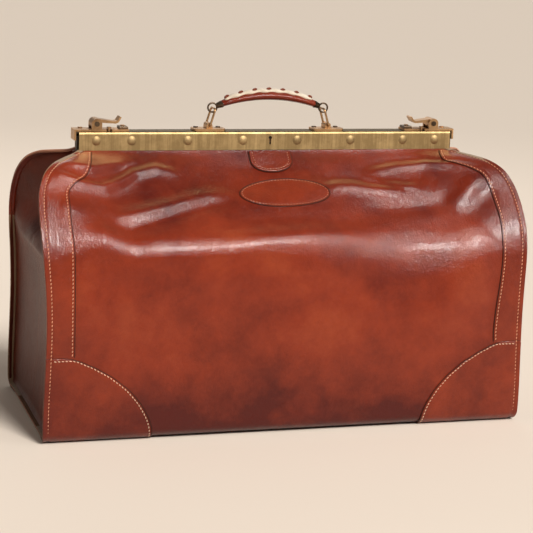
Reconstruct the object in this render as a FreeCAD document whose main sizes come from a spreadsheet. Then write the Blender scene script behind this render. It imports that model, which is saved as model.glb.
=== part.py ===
import FreeCAD, Part
import math
import os
import Sketcher

# Doctor bag (gladstone bag), millimetres.
# Frame: origin on the floor under the middle of the bag, +X along the rails to
# the right, -Y towards the front with the lock, +Z up.

V = FreeCAD.Vector
doc = FreeCAD.newDocument("doctor_bag")

# ---------------------------------------------------------------- dimensions
sheet = doc.addObject("Spreadsheet::Sheet", "Dims")
sheet.Label = "Dims"
DIMS = [
    ("bag_width", 530.0),        # over the end seam flanges
    ("bag_depth", 236.0),        # over the corner patches
    ("wall_top", 194.0),         # shoulder bend starts here
    ("leather", 2.6),            # panel leather
    ("trim", 1.0),               # strip and patch leather
    ("gap", 0.2),                # glue line between sewn layers
    ("gusset_inset", 7.0),       # seam flange beyond the gusset
    ("gusset_top", 184.0),
    ("board_thick", 3.0),
    ("lining_thick", 1.2),
    ("lining_top", 175.0),
    ("rail_length", 422.0),
    ("rail_depth", 11.6),
    ("rail_split", 0.4),         # half of the gap between the closed rails
    ("rail_bottom", 289.0),
    ("rail_height", 20.0),
    ("rail_wall", 1.5),
    ("pivot_height", 217.0),     # frame pivot above the floor
    ("arm_thick", 1.8),
    ("eye_radius", 6.5),
    ("pivot_radius", 2.5),
    ("run_clear", 0.06),         # running clearance in every pivot
    ("rivet_radius", 5.0),
    ("rivet_shank", 1.5),
    ("rivet_pitch", 61.7),
    ("rivet_end_pitch", 38.2),
    ("rivet_level", 299.4),
    ("key_level", 299.5),
    ("clasp_x", 191.5),
    ("clasp_level", 317.0),
    ("clasp_radius", 5.6),
    ("clasp_pin", 1.5),
    ("plate_thick", 2.0),
    ("bail_x", 67.5),
    ("bail_level", 314.6),
    ("bail_wire", 1.15),
    ("bail_half", 8.8),
    ("ring_x", 62.0),
    ("ring_level", 333.0),
    ("ring_mid", 4.95),
    ("ring_wire", 0.95),
    ("grip_half", 52.5),
    ("grip_rise", 346.9),
    ("grip_sag", 10.07),
    ("grip_tall", 9.4),
    ("grip_wide", 16.0),
    ("core_tall", 5.0),
    ("core_wide", 10.5),
]
D = {}
for i, (alias, value) in enumerate(DIMS, start=1):
    sheet.set("A%d" % i, alias)
    sheet.set("B%d" % i, "%g" % value)
    sheet.setAlias("B%d" % i, alias)
    D[alias] = value
doc.recompute()

NODES = {}                       # node name -> document object


def bind(obj, **props):
    for prop, expr in props.items():
        path = prop.replace("__", ".")
        obj.setExpression(path, expr)


def place(obj, x=None, y=None, z=None):
    for axis, expr in (("x", x), ("y", y), ("z", z)):
        if expr is not None:
            obj.setExpression("Placement.Base." + axis, expr)


def box(name, lx, ly, lz, x, y, z):
    o = doc.addObject("Part::Box", name)
    bind(o, Length=lx, Width=ly, Height=lz)
    place(o, x, y, z)
    return o


def cyl(name, radius, height, x, y, z, axis="Z"):
    o = doc.addObject("Part::Cylinder", name)
    bind(o, Radius=radius, Height=height)
    if axis == "Y":
        o.Placement = FreeCAD.Placement(V(0, 0, 0), FreeCAD.Rotation(V(1, 0, 0), -90))
    elif axis == "X":
        o.Placement = FreeCAD.Placement(V(0, 0, 0), FreeCAD.Rotation(V(0, 1, 0), 90))
    place(o, x, y, z)
    return o


def cut(name, base, tool):
    o = doc.addObject("Part::Cut", name)
    o.Base = base
    o.Tool = tool
    return o


def fuse(name, parts):
    o = doc.addObject("Part::MultiFuse", name)
    o.Shapes = parts
    return o


def common(name, a, b):
    o = doc.addObject("Part::MultiCommon", name)
    o.Shapes = [a, b]
    return o


def group(name, parts):
    o = doc.addObject("Part::Compound", name)
    o.Links = parts
    return o


def mirror(name, source, normal):
    o = doc.addObject("Part::Mirroring", name)
    o.Source = source
    o.Base = V(0, 0, 0)
    o.Normal = normal
    return o


def feature(name, shape):
    o = doc.addObject("Part::Feature", name)
    o.Shape = shape
    return o


def node(name, obj):
    obj.Label = name
    NODES[name] = obj
    return obj


def plane(body, role):
    for f in body.Origin.OriginFeatures:
        if f.Role == role:
            return f
    raise RuntimeError(role)


def body_sketch(body, name, role):
    s = body.newObject("Sketcher::SketchObject", name)
    s.AttachmentSupport = [(plane(body, role), "")]
    s.MapMode = "FlatFace"
    return s


def poly(sketch, pts):
    n = len(pts)
    first = sketch.GeometryCount
    for i in range(n):
        a, b = pts[i], pts[(i + 1) % n]
        sketch.addGeometry(Part.LineSegment(V(a[0], a[1], 0), V(b[0], b[1], 0)), False)
    for i in range(n):
        sketch.addConstraint(Sketcher.Constraint("Coincident", first + i, 2,
                                                 first + (i + 1) % n, 1))


def prism(name, wire_pts, axis, lo, hi, closed_spline=None):
    """Closed outline pushed along X or Y between lo and hi."""
    if axis == "X":
        pts = [V(lo, p[0], p[1]) for p in wire_pts]
        d = V(hi - lo, 0, 0)
    else:
        pts = [V(p[0], lo, p[1]) for p in wire_pts]
        d = V(0, hi - lo, 0)
    wire = Part.makePolygon(pts + [pts[0]])
    return feature(name, Part.Face(wire).extrude(d))


# ---------------------------------------------------------------- body shell
half_w = D["bag_width"] / 2
half_d = D["bag_depth"] / 2
skin = D["trim"] + D["gap"]                  # patch and glue line over a panel
yp = half_d - skin                           # outer face of the front panel
L = D["leather"]

# Base: one rounded leather sheet on the floor.
b = doc.addObject("PartDesign::Body", "base_panel")
s = body_sketch(b, "base_outline", "XY_Plane")
hw, hd, r = half_w - 3.0, yp - L - D["gap"], 9.0
poly(s, [(-hw + r, -hd), (hw - r, -hd), (hw, -hd + r), (hw, hd - r),
         (hw - r, hd), (-hw + r, hd), (-hw, hd - r), (-hw, -hd + r)])
pad = b.newObject("PartDesign::Pad", "base_pad")
pad.Profile = s
bind(pad, Length="Dims.leather")
node("base_panel", b)

# Stiffener board lying on the base.
node("base_board", box("base_board", "Dims.bag_width - 4 * Dims.gusset_inset",
                       "Dims.bag_depth - 16", "Dims.board_thick",
                       "-(Dims.bag_width - 4 * Dims.gusset_inset) / 2",
                       "-(Dims.bag_depth - 16) / 2", "Dims.leather + Dims.gap"))

# Front and back panels: the upright walls up to the shoulder bend.
for name, sign in (("front_panel", -1), ("back_panel", 1)):
    b = doc.addObject("PartDesign::Body", name)
    s = body_sketch(b, name + "_outline", "XZ_Plane")
    r = 9.0
    poly(s, [(-half_w + r, 0.0), (half_w - r, 0.0), (half_w, r), (half_w - 1.5, 60),
             (half_w - 3.0, 125), (half_w - 1.0, D["wall_top"]),
             (-half_w + 1.0, D["wall_top"]), (-half_w + 3.0, 125),
             (-half_w + 1.5, 60), (-half_w, r)])
    pad = b.newObject("PartDesign::Pad", name + "_pad")
    pad.Profile = s
    bind(pad, Length="Dims.leather")
    # the sketch normal of the XZ plane is -Y
    if sign < 0:
        place(b, y="-(Dims.bag_depth / 2 - Dims.trim - Dims.gap - Dims.leather)")
    else:
        place(b, y="Dims.bag_depth / 2 - Dims.trim - Dims.gap")
    node(name, b)

# Gussets: the recessed lower side walls.
gx = half_w - D["gusset_inset"]              # outer face of a gusset
for name, sign in (("gusset_left", -1), ("gusset_right", 1)):
    x = "-(Dims.bag_width / 2 - Dims.gusset_inset)" if sign < 0 else \
        "Dims.bag_width / 2 - Dims.gusset_inset - Dims.leather"
    node(name, box(name, "Dims.leather",
                   "Dims.bag_depth - 2 * (Dims.trim + 2 * Dims.gap + Dims.leather)",
                   "Dims.gusset_top - Dims.leather - Dims.gap", x,
                   "-(Dims.bag_depth / 2 - Dims.trim - 2 * Dims.gap - Dims.leather)",
                   "Dims.leather + Dims.gap"))

# Shoulder profile in the YZ plane: outer line from the bend up into the rail.
SH = [(-yp, D["wall_top"] + 0.3), (-yp + 1.0, 203.0), (-yp + 5.5, 210.5),
      (-yp + 14.0, 216.0), (-86.0, 228.5), (-64.0, 245.0), (-38.0, 265.0),
      (-16.0, 283.0), (-10.1, 289.2), (-10.1, 303.0)]


def offset_line(pts, d):
    """Shift a polyline sideways by d (positive towards the inside, +Y)."""
    out = []
    n = len(pts)
    for i in range(n):
        if i == 0:
            t1 = t2 = (pts[1][0] - pts[0][0], pts[1][1] - pts[0][1])
        elif i == n - 1:
            t1 = t2 = (pts[-1][0] - pts[-2][0], pts[-1][1] - pts[-2][1])
        else:
            t1 = (pts[i][0] - pts[i - 1][0], pts[i][1] - pts[i - 1][1])
            t2 = (pts[i + 1][0] - pts[i][0], pts[i + 1][1] - pts[i][1])
        n1 = (t1[1] / math.hypot(*t1), -t1[0] / math.hypot(*t1))
        n2 = (t2[1] / math.hypot(*t2), -t2[0] / math.hypot(*t2))
        m = (n1[0] + n2[0], n1[1] + n2[1])
        k = 2.0 / (m[0] ** 2 + m[1] ** 2)
        out.append((pts[i][0] + d * m[0] * k, pts[i][1] + d * m[1] * k))
    return out


def band(name, d0, d1, x0, x1, pts=SH):
    a = offset_line(pts, d0)
    c = offset_line(pts, d1)
    return prism(name, a + c[::-1], "X", x0, x1)


# Outline of the shoulder seen from the front: it narrows to the rail ends.
SH_X = [(half_w - 1.0, D["wall_top"]), (half_w + 0.0, 215.0), (half_w + 0.0, 238.0),
        (262.0, 252.0), (254.0, 264.0), (240.0, 274.0), (226.0, 281.0),
        (212.0, 286.5), (207.5, 288.0), (207.5, 304.0)]
outline = [(x, z) for x, z in SH_X] + [(-x, z) for x, z in reversed(SH_X)]
rows = [(sgn * (D["rivet_pitch"] * (i + 0.5))) for i in range(3) for sgn in (-1, 1)]
rows += [sgn * (D["rivet_pitch"] * 2.5 + D["rivet_end_pitch"]) for sgn in (-1, 1)]
rows.sort()


def drill(name, shape, radius, y0, y1):
    out = shape
    for x in rows:
        out = out.cut(Part.makeCylinder(radius, y1 - y0, V(x, y0, D["rivet_level"]),
                                        V(0, 1, 0)))
    return out


sh_band = band("shoulder_band", 0.0, 2.4, -half_w, half_w)
sh_outline = prism("shoulder_outline", outline, "Y", -half_d - 5, 0)
sh_raw = common("shoulder_raw", sh_band, sh_outline)
doc.recompute()
shape = drill("x", sh_raw.Shape, D["rivet_shank"] + 0.1, -20, 0)
shape = shape.cut(Part.makeBox(46, 30, 30, V(-20, -30, 290.6)))      # lock recess
front_shoulder = node("front_shoulder", feature("front_shoulder", shape))
shape = drill("x", sh_raw.Shape, D["rivet_shank"] + 0.1, -20, 0)
back_sh = shape.mirror(V(0, 0, 0), V(0, 1, 0))
node("back_shoulder", feature("back_shoulder", back_sh))

# Upper gusset folds: from the top of the gusset, inward over the ledge and up
# to the rail end, split at the middle above the pivot.
inner = offset_line(SH, 2.4)


def inner_y(z):
    if z <= inner[0][1]:
        return inner[0][0]
    for (y0, z0), (y1, z1) in zip(inner, inner[1:]):
        if z0 <= z <= z1:
            return y0 + (y1 - y0) * (z - z0) / (z1 - z0)
    return inner[-1][0]


FOLD = [(186.0, 256.5, 256.5), (198.0, 257.0, 251.0), (208.0, 257.0, 241.0),
        (218.0, 256.0, 229.0), (232.0, 255.0, 222.0), (255.0, 246.0, 218.5),
        (270.0, 234.0, 217.0), (284.0, 219.0, 216.6)]
wires = []
for z, xa, xb in FOLD:
    ya = inner_y(z) + 1.2
    yb = -0.4
    t = 2.2
    wires.append(Part.makePolygon([V(-xa, ya, z), V(-xb, yb, z), V(-xb + t, yb, z),
                                   V(-xa + t, ya, z), V(-xa, ya, z)]))
fold = Part.makeLoft(wires, True, True)
fl = node("gusset_fold_front_left", feature("gusset_fold_front_left", fold))
node("gusset_fold_front_right", mirror("gusset_fold_front_right", fl, V(1, 0, 0)))
bl = node("gusset_fold_back_left", mirror("gusset_fold_back_left", fl, V(0, 1, 0)))
node("gusset_fold_back_right", mirror("gusset_fold_back_right", bl, V(1, 0, 0)))

# Corner patches on the lower corners of the front and back panels.
arc = Part.Arc(V(-235, 91, 0), V(-184, 64, 0), V(-149.5, 1.0, 0))
b = doc.addObject("PartDesign::Body", "corner_patch_front_left")
s = body_sketch(b, "patch_outline", "XZ_Plane")
r = 9.0
ln = [((-149.5, 1.0), (-half_w + r, 0.8)), ((-half_w + r, 0.8), (-half_w + 0.6, r)),
      ((-half_w + 0.6, r), (-half_w + 2.6, 91)), ((-half_w + 2.6, 91), (-235, 91))]
s.addGeometry(arc, False)
for a, c in ln:
    s.addGeometry(Part.LineSegment(V(a[0], a[1], 0), V(c[0], c[1], 0)), False)
pad = b.newObject("PartDesign::Pad", "patch_pad")
pad.Profile = s
bind(pad, Length="Dims.trim")
place(b, y="-(Dims.bag_depth / 2 - Dims.trim)")
pl = node("corner_patch_front_left", b)
node("corner_patch_front_right", mirror("corner_patch_front_right", pl, V(1, 0, 0)))
pb = node("corner_patch_back_left", mirror("corner_patch_back_left", pl, V(0, 1, 0)))
node("corner_patch_back_right", mirror("corner_patch_back_right", pb, V(1, 0, 0)))

# Side strips: along the end seams from the patches to the rail ends.
WALL = [(-yp, 92.0)] + SH[:-2] + [(-11.2, 288.4)]
ST_OUT = [(half_w - 2.6, 92), (half_w - 3.0, 125), (half_w - 1.0, 194), (half_w, 215),
          (half_w, 238), (262.0, 252.0), (254.0, 264.0), (240.0, 274.0),
          (226.0, 281.0), (212.5, 286.5)]
ST_IN = [(198.0, 288.6), (205.0, 284.0), (221.0, 274.0), (234.0, 260.0), (240.0, 246.0),
         (241.0, 226.0), (236.0, 200.0), (235.0, 150.0), (235.0, 92.0)]
st_band = band("strip_band", -(D["gap"] + D["trim"]), -D["gap"], -half_w, 0, WALL)
st_out = prism("strip_outline", [(-x, z) for x, z in ST_OUT + ST_IN], "Y", -half_d - 5, 0)
sf = node("side_strip_front_left", common("side_strip_front_left", st_band, st_out))
node("side_strip_front_right", mirror("side_strip_front_right", sf, V(1, 0, 0)))
sb = node("side_strip_back_left", mirror("side_strip_back_left", sf, V(0, 1, 0)))
node("side_strip_back_right", mirror("side_strip_back_right", sb, V(1, 0, 0)))

# Blank oval patch on the front shoulder.
el = [(1.0 + 50 * math.cos(a), 249.6 + 13.2 * math.sin(a))
      for a in [i * math.pi / 24 for i in range(48)]]
ov_band = band("oval_band", -(D["gap"] + D["trim"]), -D["gap"], -60, 62)
ov_out = prism("oval_outline", el, "Y", -half_d - 5, 0)
node("oval_patch", common("oval_patch", ov_band, ov_out))

# Lining: an open tray inside the walls, with a flat slip pocket at the back.
lx = half_w - D["gusset_inset"] - L - 0.6
ly = yp - L - 0.6
lz = L + D["board_thick"] + 2 * D["gap"]
outer = Part.makeBox(2 * lx, 2 * ly, D["lining_top"] - lz, V(-lx, -ly, lz))
t = D["lining_thick"]
cav = Part.makeBox(2 * (lx - t), 2 * (ly - t), 300, V(-lx + t, -ly + t, lz + t))
node("lining", feature("lining", outer.cut(cav)))
node("pocket_panel", box("pocket_panel", "190", "1.2", "105", "-95",
                         "%g" % (ly - t - 1.5), "42"))

# ---------------------------------------------------------------- frame rails
# Channel section, open at the bottom, with a softened outer top edge.


def rail_shape():
    y0, y1 = -D["rail_split"] - D["rail_depth"], -D["rail_split"]
    z0, z1 = D["rail_bottom"], D["rail_bottom"] + D["rail_height"]
    w = D["rail_wall"]
    c = 2.4
    outer = [(y0, z0), (y0, z1 - c), (y0 + c * 0.3, z1 - c * 0.3), (y0 + c, z1),
             (y1 - 0.6, z1), (y1, z1 - 0.6), (y1, z0 + 9),
             (y1 - w, z0 + 9), (y1 - w, z1 - w), (y0 + w + c, z1 - w),
             (y0 + w, z1 - w - c), (y0 + w, z0)]
    return outer


def rail_body(name, keyhole):
    b = doc.addObject("PartDesign::Body", name)
    s = body_sketch(b, name + "_section", "YZ_Plane")
    poly(s, rail_shape())
    pad = b.newObject("PartDesign::Pad", name + "_pad")
    pad.Profile = s
    pad.SideType = "Symmetric" if hasattr(pad, "SideType") else ""
    if not hasattr(pad, "SideType"):
        pad.Midplane = True
    bind(pad, Length="Dims.rail_length")
    s2 = body_sketch(b, name + "_holes", "XZ_Plane")
    for x in rows:
        s2.addGeometry(Part.Circle(V(x, D["rivet_level"], 0), V(0, 0, 1),
                                   D["rivet_shank"] + 0.05), False)
    if keyhole:
        k = D["key_level"]
        s2.addGeometry(Part.Circle(V(0, k + 2.8, 0), V(0, 0, 1), 1.9), False)
    pk = b.newObject("PartDesign::Pocket", name + "_pocket")
    pk.Profile = s2
    pk.SideType = "Two sides" if False else pk.SideType
    pk.Type = "ThroughAll"
    try:
        pk.SideType = "Symmetric"
    except Exception:
        pk.Midplane = True
    return b


rb = rail_body("front_rail_blank", True)
slot = box("keyhole_slot", "1.9", "10", "6.6", "-0.95", "-18", "Dims.key_level - 4.4")
front_rail = node("front_rail", cut("front_rail", rb, slot))
rb2 = rail_body("back_rail_blank", False)
back_rail = node("back_rail", mirror("back_rail", rb2, V(0, 1, 0)))


# Steel inner frame: a strip in the channel and two arms down to the pivot.
def arm(x0, x1, name):
    zp, re = D["pivot_height"], D["eye_radius"]
    pts = [(-8.2, 304.0), (-2.6, 304.0), (-2.6, 290.0), (re * 0.93, zp + 12.0),
           (re, zp), (-re, zp), (-re - 1.0, zp + 30), (-8.2, 283.0)]
    plate = Part.Face(Part.makePolygon([V(x0, y, z) for y, z in pts + pts[:1]]))
    plate = plate.extrude(V(x1 - x0, 0, 0))
    eye = Part.makeCylinder(re, x1 - x0, V(x0, 0, zp), V(1, 0, 0))
    a = plate.fuse(eye)
    hole = Part.makeCylinder(D["pivot_radius"] + D["run_clear"], x1 - x0 + 4,
                             V(x0 - 2, 0, zp), V(1, 0, 0))
    return a.cut(hole)


def inner_frame(half, out):
    """Strip half length and the arms' outer faces, front side."""
    strip = Part.makeBox(2 * half, 1.6, 15.0, V(-half, -4.4, 291.0))
    a = D["arm_thick"]
    right = arm(out - a, out, "r")
    left = arm(-out, -out + a, "l")
    f = strip.fuse(right).fuse(left).removeSplitter()
    return f


ff = inner_frame(213.1, 213.1)
ff = ff.cut(Part.makeBox(6.4, 10, 9.0, V(18.2, -7, 289.0)))            # strike way
ff = drill("x", ff, D["rivet_shank"] + 0.1, -20, 0)
node("front_inner_frame", feature("front_inner_frame", ff))
bf = inner_frame(210.6, 210.6)
bf = drill("x", bf, D["rivet_shank"] + 0.1, -20, 0)
bf = bf.mirror(V(0, 0, 0), V(0, 1, 0))
node("back_inner_frame", feature("back_inner_frame", bf))


# Dome rivets: head on the rail face, shank through channel, leather and strip.
def rivets():
    y0 = -D["rail_split"] - D["rail_depth"]
    out = []
    for x in rows:
        R = D["rivet_radius"]
        hgt = 1.6
        rs = (R * R + hgt * hgt) / (2 * hgt)
        sph = Part.makeSphere(rs, V(x, y0 - 0.05 - hgt + rs, D["rivet_level"]))
        keep = Part.makeBox(20, 10, 20, V(x - 10, y0 - 0.05 - 10, D["rivet_level"] - 10))
        head = sph.common(keep)
        shank = Part.makeCylinder(D["rivet_shank"], 9.4,
                                  V(x, y0 - 0.05, D["rivet_level"]), V(0, 1, 0))
        out.append(head.fuse(shank).removeSplitter())
    return Part.makeCompound(out)


rv = rivets()
node("front_rivets", feature("front_rivets", rv))
node("back_rivets", feature("back_rivets", rv.mirror(V(0, 0, 0), V(0, 1, 0))))

# Half-round leather tab below the rail, under the keyhole.
tab_pts = [(-24.5, 288.2)] + [(-24.5 * math.cos(a), 280.5 - 13.5 * math.sin(a))
                              for a in [i * math.pi / 16 for i in range(17)]] + \
          [(24.5, 288.2)]
TAB = SH[5:8] + [(-11.4, 288.6)]
tab_band = band("tab_band", -1.7, -0.3, -30, 30, TAB)
tab_out = prism("tab_outline", tab_pts, "Y", -half_d - 5, 0)
node("lock_tab", common("lock_tab", tab_band, tab_out))

# Lock: case behind the keyhole, with a turning cam and a sliding bolt.
kz = D["key_level"]
case = Part.makeBox(36, 5.2, 14.0, V(-18, -9.9, 291.6))
case = case.cut(Part.makeBox(34.4, 3.6, 12.4, V(-17.2, -9.1, 292.4)))
case = case.cut(Part.makeCylinder(2.2, 3.0, V(0, -11, kz), V(0, 1, 0)))
case = case.cut(Part.makeBox(6, 1.9, 3.4, V(14.5, -7.35, 292.8)))     # bolt way
node("lock_case", feature("lock_case", case))
cam = Part.makeCylinder(2.0, 2.4, V(0, -10.2, kz), V(0, 1, 0))
cam = cam.fuse(Part.makeCylinder(3.0, 1.3, V(0, -8.8, kz), V(0, 1, 0)))
cam = cam.fuse(Part.makeBox(1.8, 1.3, 5.6, V(-0.9, -8.8, kz - 5.6)))
cam = cam.cut(Part.makeBox(0.9, 1.6, 3.0, V(-0.45, -10.3, kz - 1.5))).removeSplitter()
node("lock_cam", feature("lock_cam", cam))
bolt = Part.makeBox(22.0, 1.5, 3.0, V(-4.6, -7.15, 293.0))
bolt = bolt.fuse(Part.makeBox(3.0, 1.5, 3.0, V(-4.6, -7.15, 295.9))).removeSplitter()
node("lock_bolt", feature("lock_bolt", bolt))
# A hook on the back frame that reaches under the rails, beside the lock case.
hook = Part.makeBox(4.2, 11.5, 1.5, V(19.2, -8.8, 291.4))
hook = hook.fuse(Part.makeBox(4.2, 1.4, 5.2, V(19.2, -8.8, 291.4)))
hook = hook.fuse(Part.makeBox(4.2, 1.2, 6.2, V(19.2, 1.5, 291.4))).removeSplitter()
node("lock_strike", feature("lock_strike", hook))

# Frame pivots: a steel tab on each gusset carries the pin of both frame halves.
zp = D["pivot_height"]
tab_poly = [(254.6, 178.0), (254.6, 183.0), (217.2, 212.0), (217.2, 225.0),
            (214.2, 225.0), (214.2, 208.5)]
hinge_tab = prism("hinge_tab_blank", [(-x, z) for x, z in tab_poly], "Y", -10, 10)
hinge_bore = cyl("hinge_tab_bore", "Dims.pivot_radius + 0.01", "10",
                 "-222", "0", "Dims.pivot_height", "X")
ht = node("hinge_tab_left", cut("hinge_tab_left", hinge_tab, hinge_bore))
node("hinge_tab_right", mirror("hinge_tab_right", ht, V(1, 0, 0)))
pin = Part.makeCylinder(D["pivot_radius"], 12.6, V(-218.4, 0, zp), V(1, 0, 0))
pin = pin.fuse(Part.makeCylinder(4.6, 1.6, V(-208.2, 0, zp), V(1, 0, 0)))
pin = pin.fuse(Part.makeCylinder(4.0, 1.0, V(-218.9, 0, zp), V(1, 0, 0)))
pin = pin.removeSplitter()
node("hinge_pins", feature("hinge_pins", Part.makeCompound(
    [pin, pin.mirror(V(0, 0, 0), V(1, 0, 0))])))

# ---------------------------------------------------------------- clasps
zt = D["rail_bottom"] + D["rail_height"]
pz = zt + D["gap"]


def clasp_plate():
    cx, cz, cr = -D["clasp_x"], D["clasp_level"], D["clasp_radius"]
    th = D["plate_thick"]
    p = Part.makeBox(59.0, 19.0, th, V(-215.8, -9.5, pz))
    lip = Part.makeBox(2.0, 19.0, 11.5, V(-215.8, -9.5, pz + th - 11.5))
    out = p.fuse(lip)
    edges = [e for e in out.Edges if abs(e.BoundBox.XMax + 156.8) < 0.01
             and e.BoundBox.ZLength > 1]
    for ysgn in (-1, 1):
        y0 = 7.1 if ysgn > 0 else -9.5
        lug = Part.makeBox(2 * cr, 2.4, cz - pz, V(cx - cr, y0, pz))
        lug = lug.fuse(Part.makeCylinder(cr, 2.4, V(cx, y0, cz), V(0, 1, 0)))
        out = out.fuse(lug)
    out = out.cut(Part.makeCylinder(D["clasp_pin"] + 0.01, 30, V(cx, -15, cz), V(0, 1, 0)))
    # slot for the keeper stud, open to the front
    out = out.cut(Part.makeBox(6.0, 8.0, 10, V(-181.0, -10.0, pz - 2)))
    for x in (-162.0, -207.0):
        out = out.cut(Part.makeCylinder(1.3, 8, V(x, 5.0 if x < -200 else 0.0, pz - 2),
                                        V(0, 0, 1)))
    return out.removeSplitter()


cp = node("clasp_plate_left", feature("clasp_plate_left", clasp_plate()))
node("clasp_plate_right", mirror("clasp_plate_right", cp, V(1, 0, 0)))


def clasp_lever():
    cx, cz, cr = -D["clasp_x"], D["clasp_level"], D["clasp_radius"]
    prof = [(cx + 1.0, cz + cr - 0.1), (cx + 5.0, cz + 4.6), (cx + 20.0, cz + 2.4),
            (cx + 22.4, cz + 3.2), (cx + 25.6, cz + 7.6), (cx + 27.0, cz + 6.8),
            (cx + 24.0, cz + 1.6), (cx + 21.0, cz + 0.2), (cx + 6.0, cz + 1.0),
            (cx + 1.0, cz + 1.0)]
    blade = Part.Face(Part.makePolygon([V(x, -6.8, z) for x, z in prof + prof[:1]]))
    blade = blade.extrude(V(0, 13.6, 0))
    barrel = Part.makeCylinder(cr, 13.6, V(cx, -6.8, cz), V(0, 1, 0))
    out = blade.fuse(barrel)
    out = out.cut(Part.makeCylinder(D["clasp_pin"] + D["run_clear"], 30,
                                    V(cx, -15, cz), V(0, 1, 0)))
    # keeper clearance in the underside
    return out.removeSplitter()


cl = node("clasp_lever_left", feature("clasp_lever_left", clasp_lever()))
node("clasp_lever_right", mirror("clasp_lever_right", cl, V(1, 0, 0)))
cpin = Part.makeCylinder(D["clasp_pin"], 20.0, V(-D["clasp_x"], -10.0, D["clasp_level"]),
                         V(0, 1, 0))
for y in (-10.5, 9.7):
    cpin = cpin.fuse(Part.makeCylinder(2.7, 0.8, V(-D["clasp_x"], y, D["clasp_level"]),
                                       V(0, 1, 0)))
cpn = node("clasp_pin_left", feature("clasp_pin_left", cpin.removeSplitter()))
node("clasp_pin_right", mirror("clasp_pin_right", cpn, V(1, 0, 0)))

# Bronze end block under the lever tip, held by a screw.
blk = Part.makeBox(9.4, 14.0, 2.8, V(-166.6, -7.0, pz + D["plate_thick"] + 0.02))
blk = blk.makeFillet(1.0, [e for e in blk.Edges if e.BoundBox.ZMin > pz + 4.5])
blk = blk.cut(Part.makeCylinder(1.3, 12, V(-162.0, 0.0, pz - 2), V(0, 0, 1)))
ck = node("clasp_block_left", feature("clasp_block_left", blk))
node("clasp_block_right", mirror("clasp_block_right", ck, V(1, 0, 0)))


def screw(x, y, z, length, head=2.6):
    sc = Part.makeCylinder(1.2, length + 0.02, V(x, y, z - length), V(0, 0, 1))
    hd_ = Part.makeCylinder(head, 1.1, V(x, y, z + 0.02), V(0, 0, 1))
    hd_ = hd_.cut(Part.makeBox(2 * head, 0.6, 0.6, V(x - head, y - 0.3, z + 0.7)))
    return sc.fuse(hd_).removeSplitter()


zc = pz + D["plate_thick"]
cs = [screw(-162.0, 0.0, zc + 2.82, 4.9, 2.4), screw(-207.0, 5.0, zc, 2.1)]
cs += [c.mirror(V(0, 0, 0), V(1, 0, 0)) for c in cs]
node("clasp_screws", feature("clasp_screws", Part.makeCompound(cs)))

# Keeper studs on the front rail, in the slots of the clasp plates.
keeper = Part.makeCylinder(1.7, 4.4, V(-178.0, -6.0, zt + 0.02), V(0, 0, 1))
keeper = keeper.fuse(Part.makeCylinder(2.3, 1.0, V(-178.0, -6.0, zt + 3.6), V(0, 0, 1)))
keeper = keeper.removeSplitter()
kl = node("clasp_keeper_left", feature("clasp_keeper_left", keeper))
node("clasp_keeper_right", mirror("clasp_keeper_right", kl, V(1, 0, 0)))

# ---------------------------------------------------------------- handle
bx, bz, bw, bh = D["bail_x"], D["bail_level"], D["bail_wire"], D["bail_half"]


def handle_plate():
    p = Part.makeBox(36.0, 19.0, 2.4, V(-bx - 18, -9.5, pz))
    vert = [e for e in p.Edges if e.BoundBox.ZLength > 2 and e.BoundBox.XLength < 0.01
            and e.BoundBox.YLength < 0.01]
    p = p.makeFillet(4.0, vert)
    hump = Part.makeCylinder(3.3, 13.8, V(-bx, -6.9, bz), V(0, 1, 0))
    foot = Part.makeBox(6.6, 13.8, bz - pz, V(-bx - 3.3, -6.9, pz))
    p = p.fuse(hump).fuse(foot)
    p = p.cut(Part.makeCylinder(bw + D["run_clear"], 30, V(-bx, -15, bz), V(0, 1, 0)))
    for x in (-bx - 12.5, -bx + 12.5):
        p = p.cut(Part.makeCylinder(1.3, 10, V(x, 5.0, pz - 2), V(0, 0, 1)))
    return p.removeSplitter()


hp = node("handle_plate_left", feature("handle_plate_left", handle_plate()))
node("handle_plate_right", mirror("handle_plate_right", hp, V(1, 0, 0)))
hs = [screw(-bx + dx, 5.0, pz + 2.4, 2.5) for dx in (-12.5, 12.5)]
hs += [c.mirror(V(0, 0, 0), V(1, 0, 0)) for c in hs]
node("handle_plate_screws", feature("handle_plate_screws", Part.makeCompound(hs)))


def bail():
    """U loop of wire whose bent ends turn in the plate's barrel."""
    tx, tz = -D["ring_x"], D["ring_level"]
    lean = V(tx + bx, 0, tz - bz)
    u = V(lean); u.normalize()
    vy = V(0, 1, 0)
    base = V(-bx, 0, bz)
    top = V(tx, 0, tz)

    def P(y, along):
        return base + u * along + vy * y
    H = lean.Length
    e = []
    def corner(c, a, b, rr):
        pa = c + (a - c).normalize() * rr
        pb = c + (b - c).normalize() * rr
        k = math.sqrt(0.5)
        centre = pa + (pb - c)
        mid = centre + (c - centre).normalize() * rr
        return pa, mid, pb
    pts = [P(-2.0, 0), P(-bh, 0), P(-bh, H), P(bh, H), P(bh, 0), P(2.0, 0)]
    edges = []
    cur = pts[0]
    for i in range(1, 5):
        pa, mid, pb = corner(V(pts[i]), V(pts[i - 1]), V(pts[i + 1]), 1.7 if i in (1, 4) else 3.4)
        edges.append(Part.LineSegment(cur, pa).toShape())
        edges.append(Part.Arc(pa, mid, pb).toShape())
        cur = pb
    edges.append(Part.LineSegment(cur, pts[5]).toShape())
    path = Part.Wire(edges)
    prof = Part.Wire(Part.Circle(pts[0], V(0, 1, 0), bw).toShape())
    return path.makePipeShell([prof], True, True)


bs = bail()
bl_ = node("bail_left", feature("bail_left", bs))
node("bail_right", mirror("bail_right", bl_, V(1, 0, 0)))


def grip_z(x):
    return D["grip_rise"] - D["grip_sag"] * (x / 55.0) ** 2


def taper(x):
    """The grip slims towards its ends."""
    return 1 - 0.34 * (x / 52.0) ** 2, 1 - 0.31 * (x / 52.0) ** 2


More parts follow.
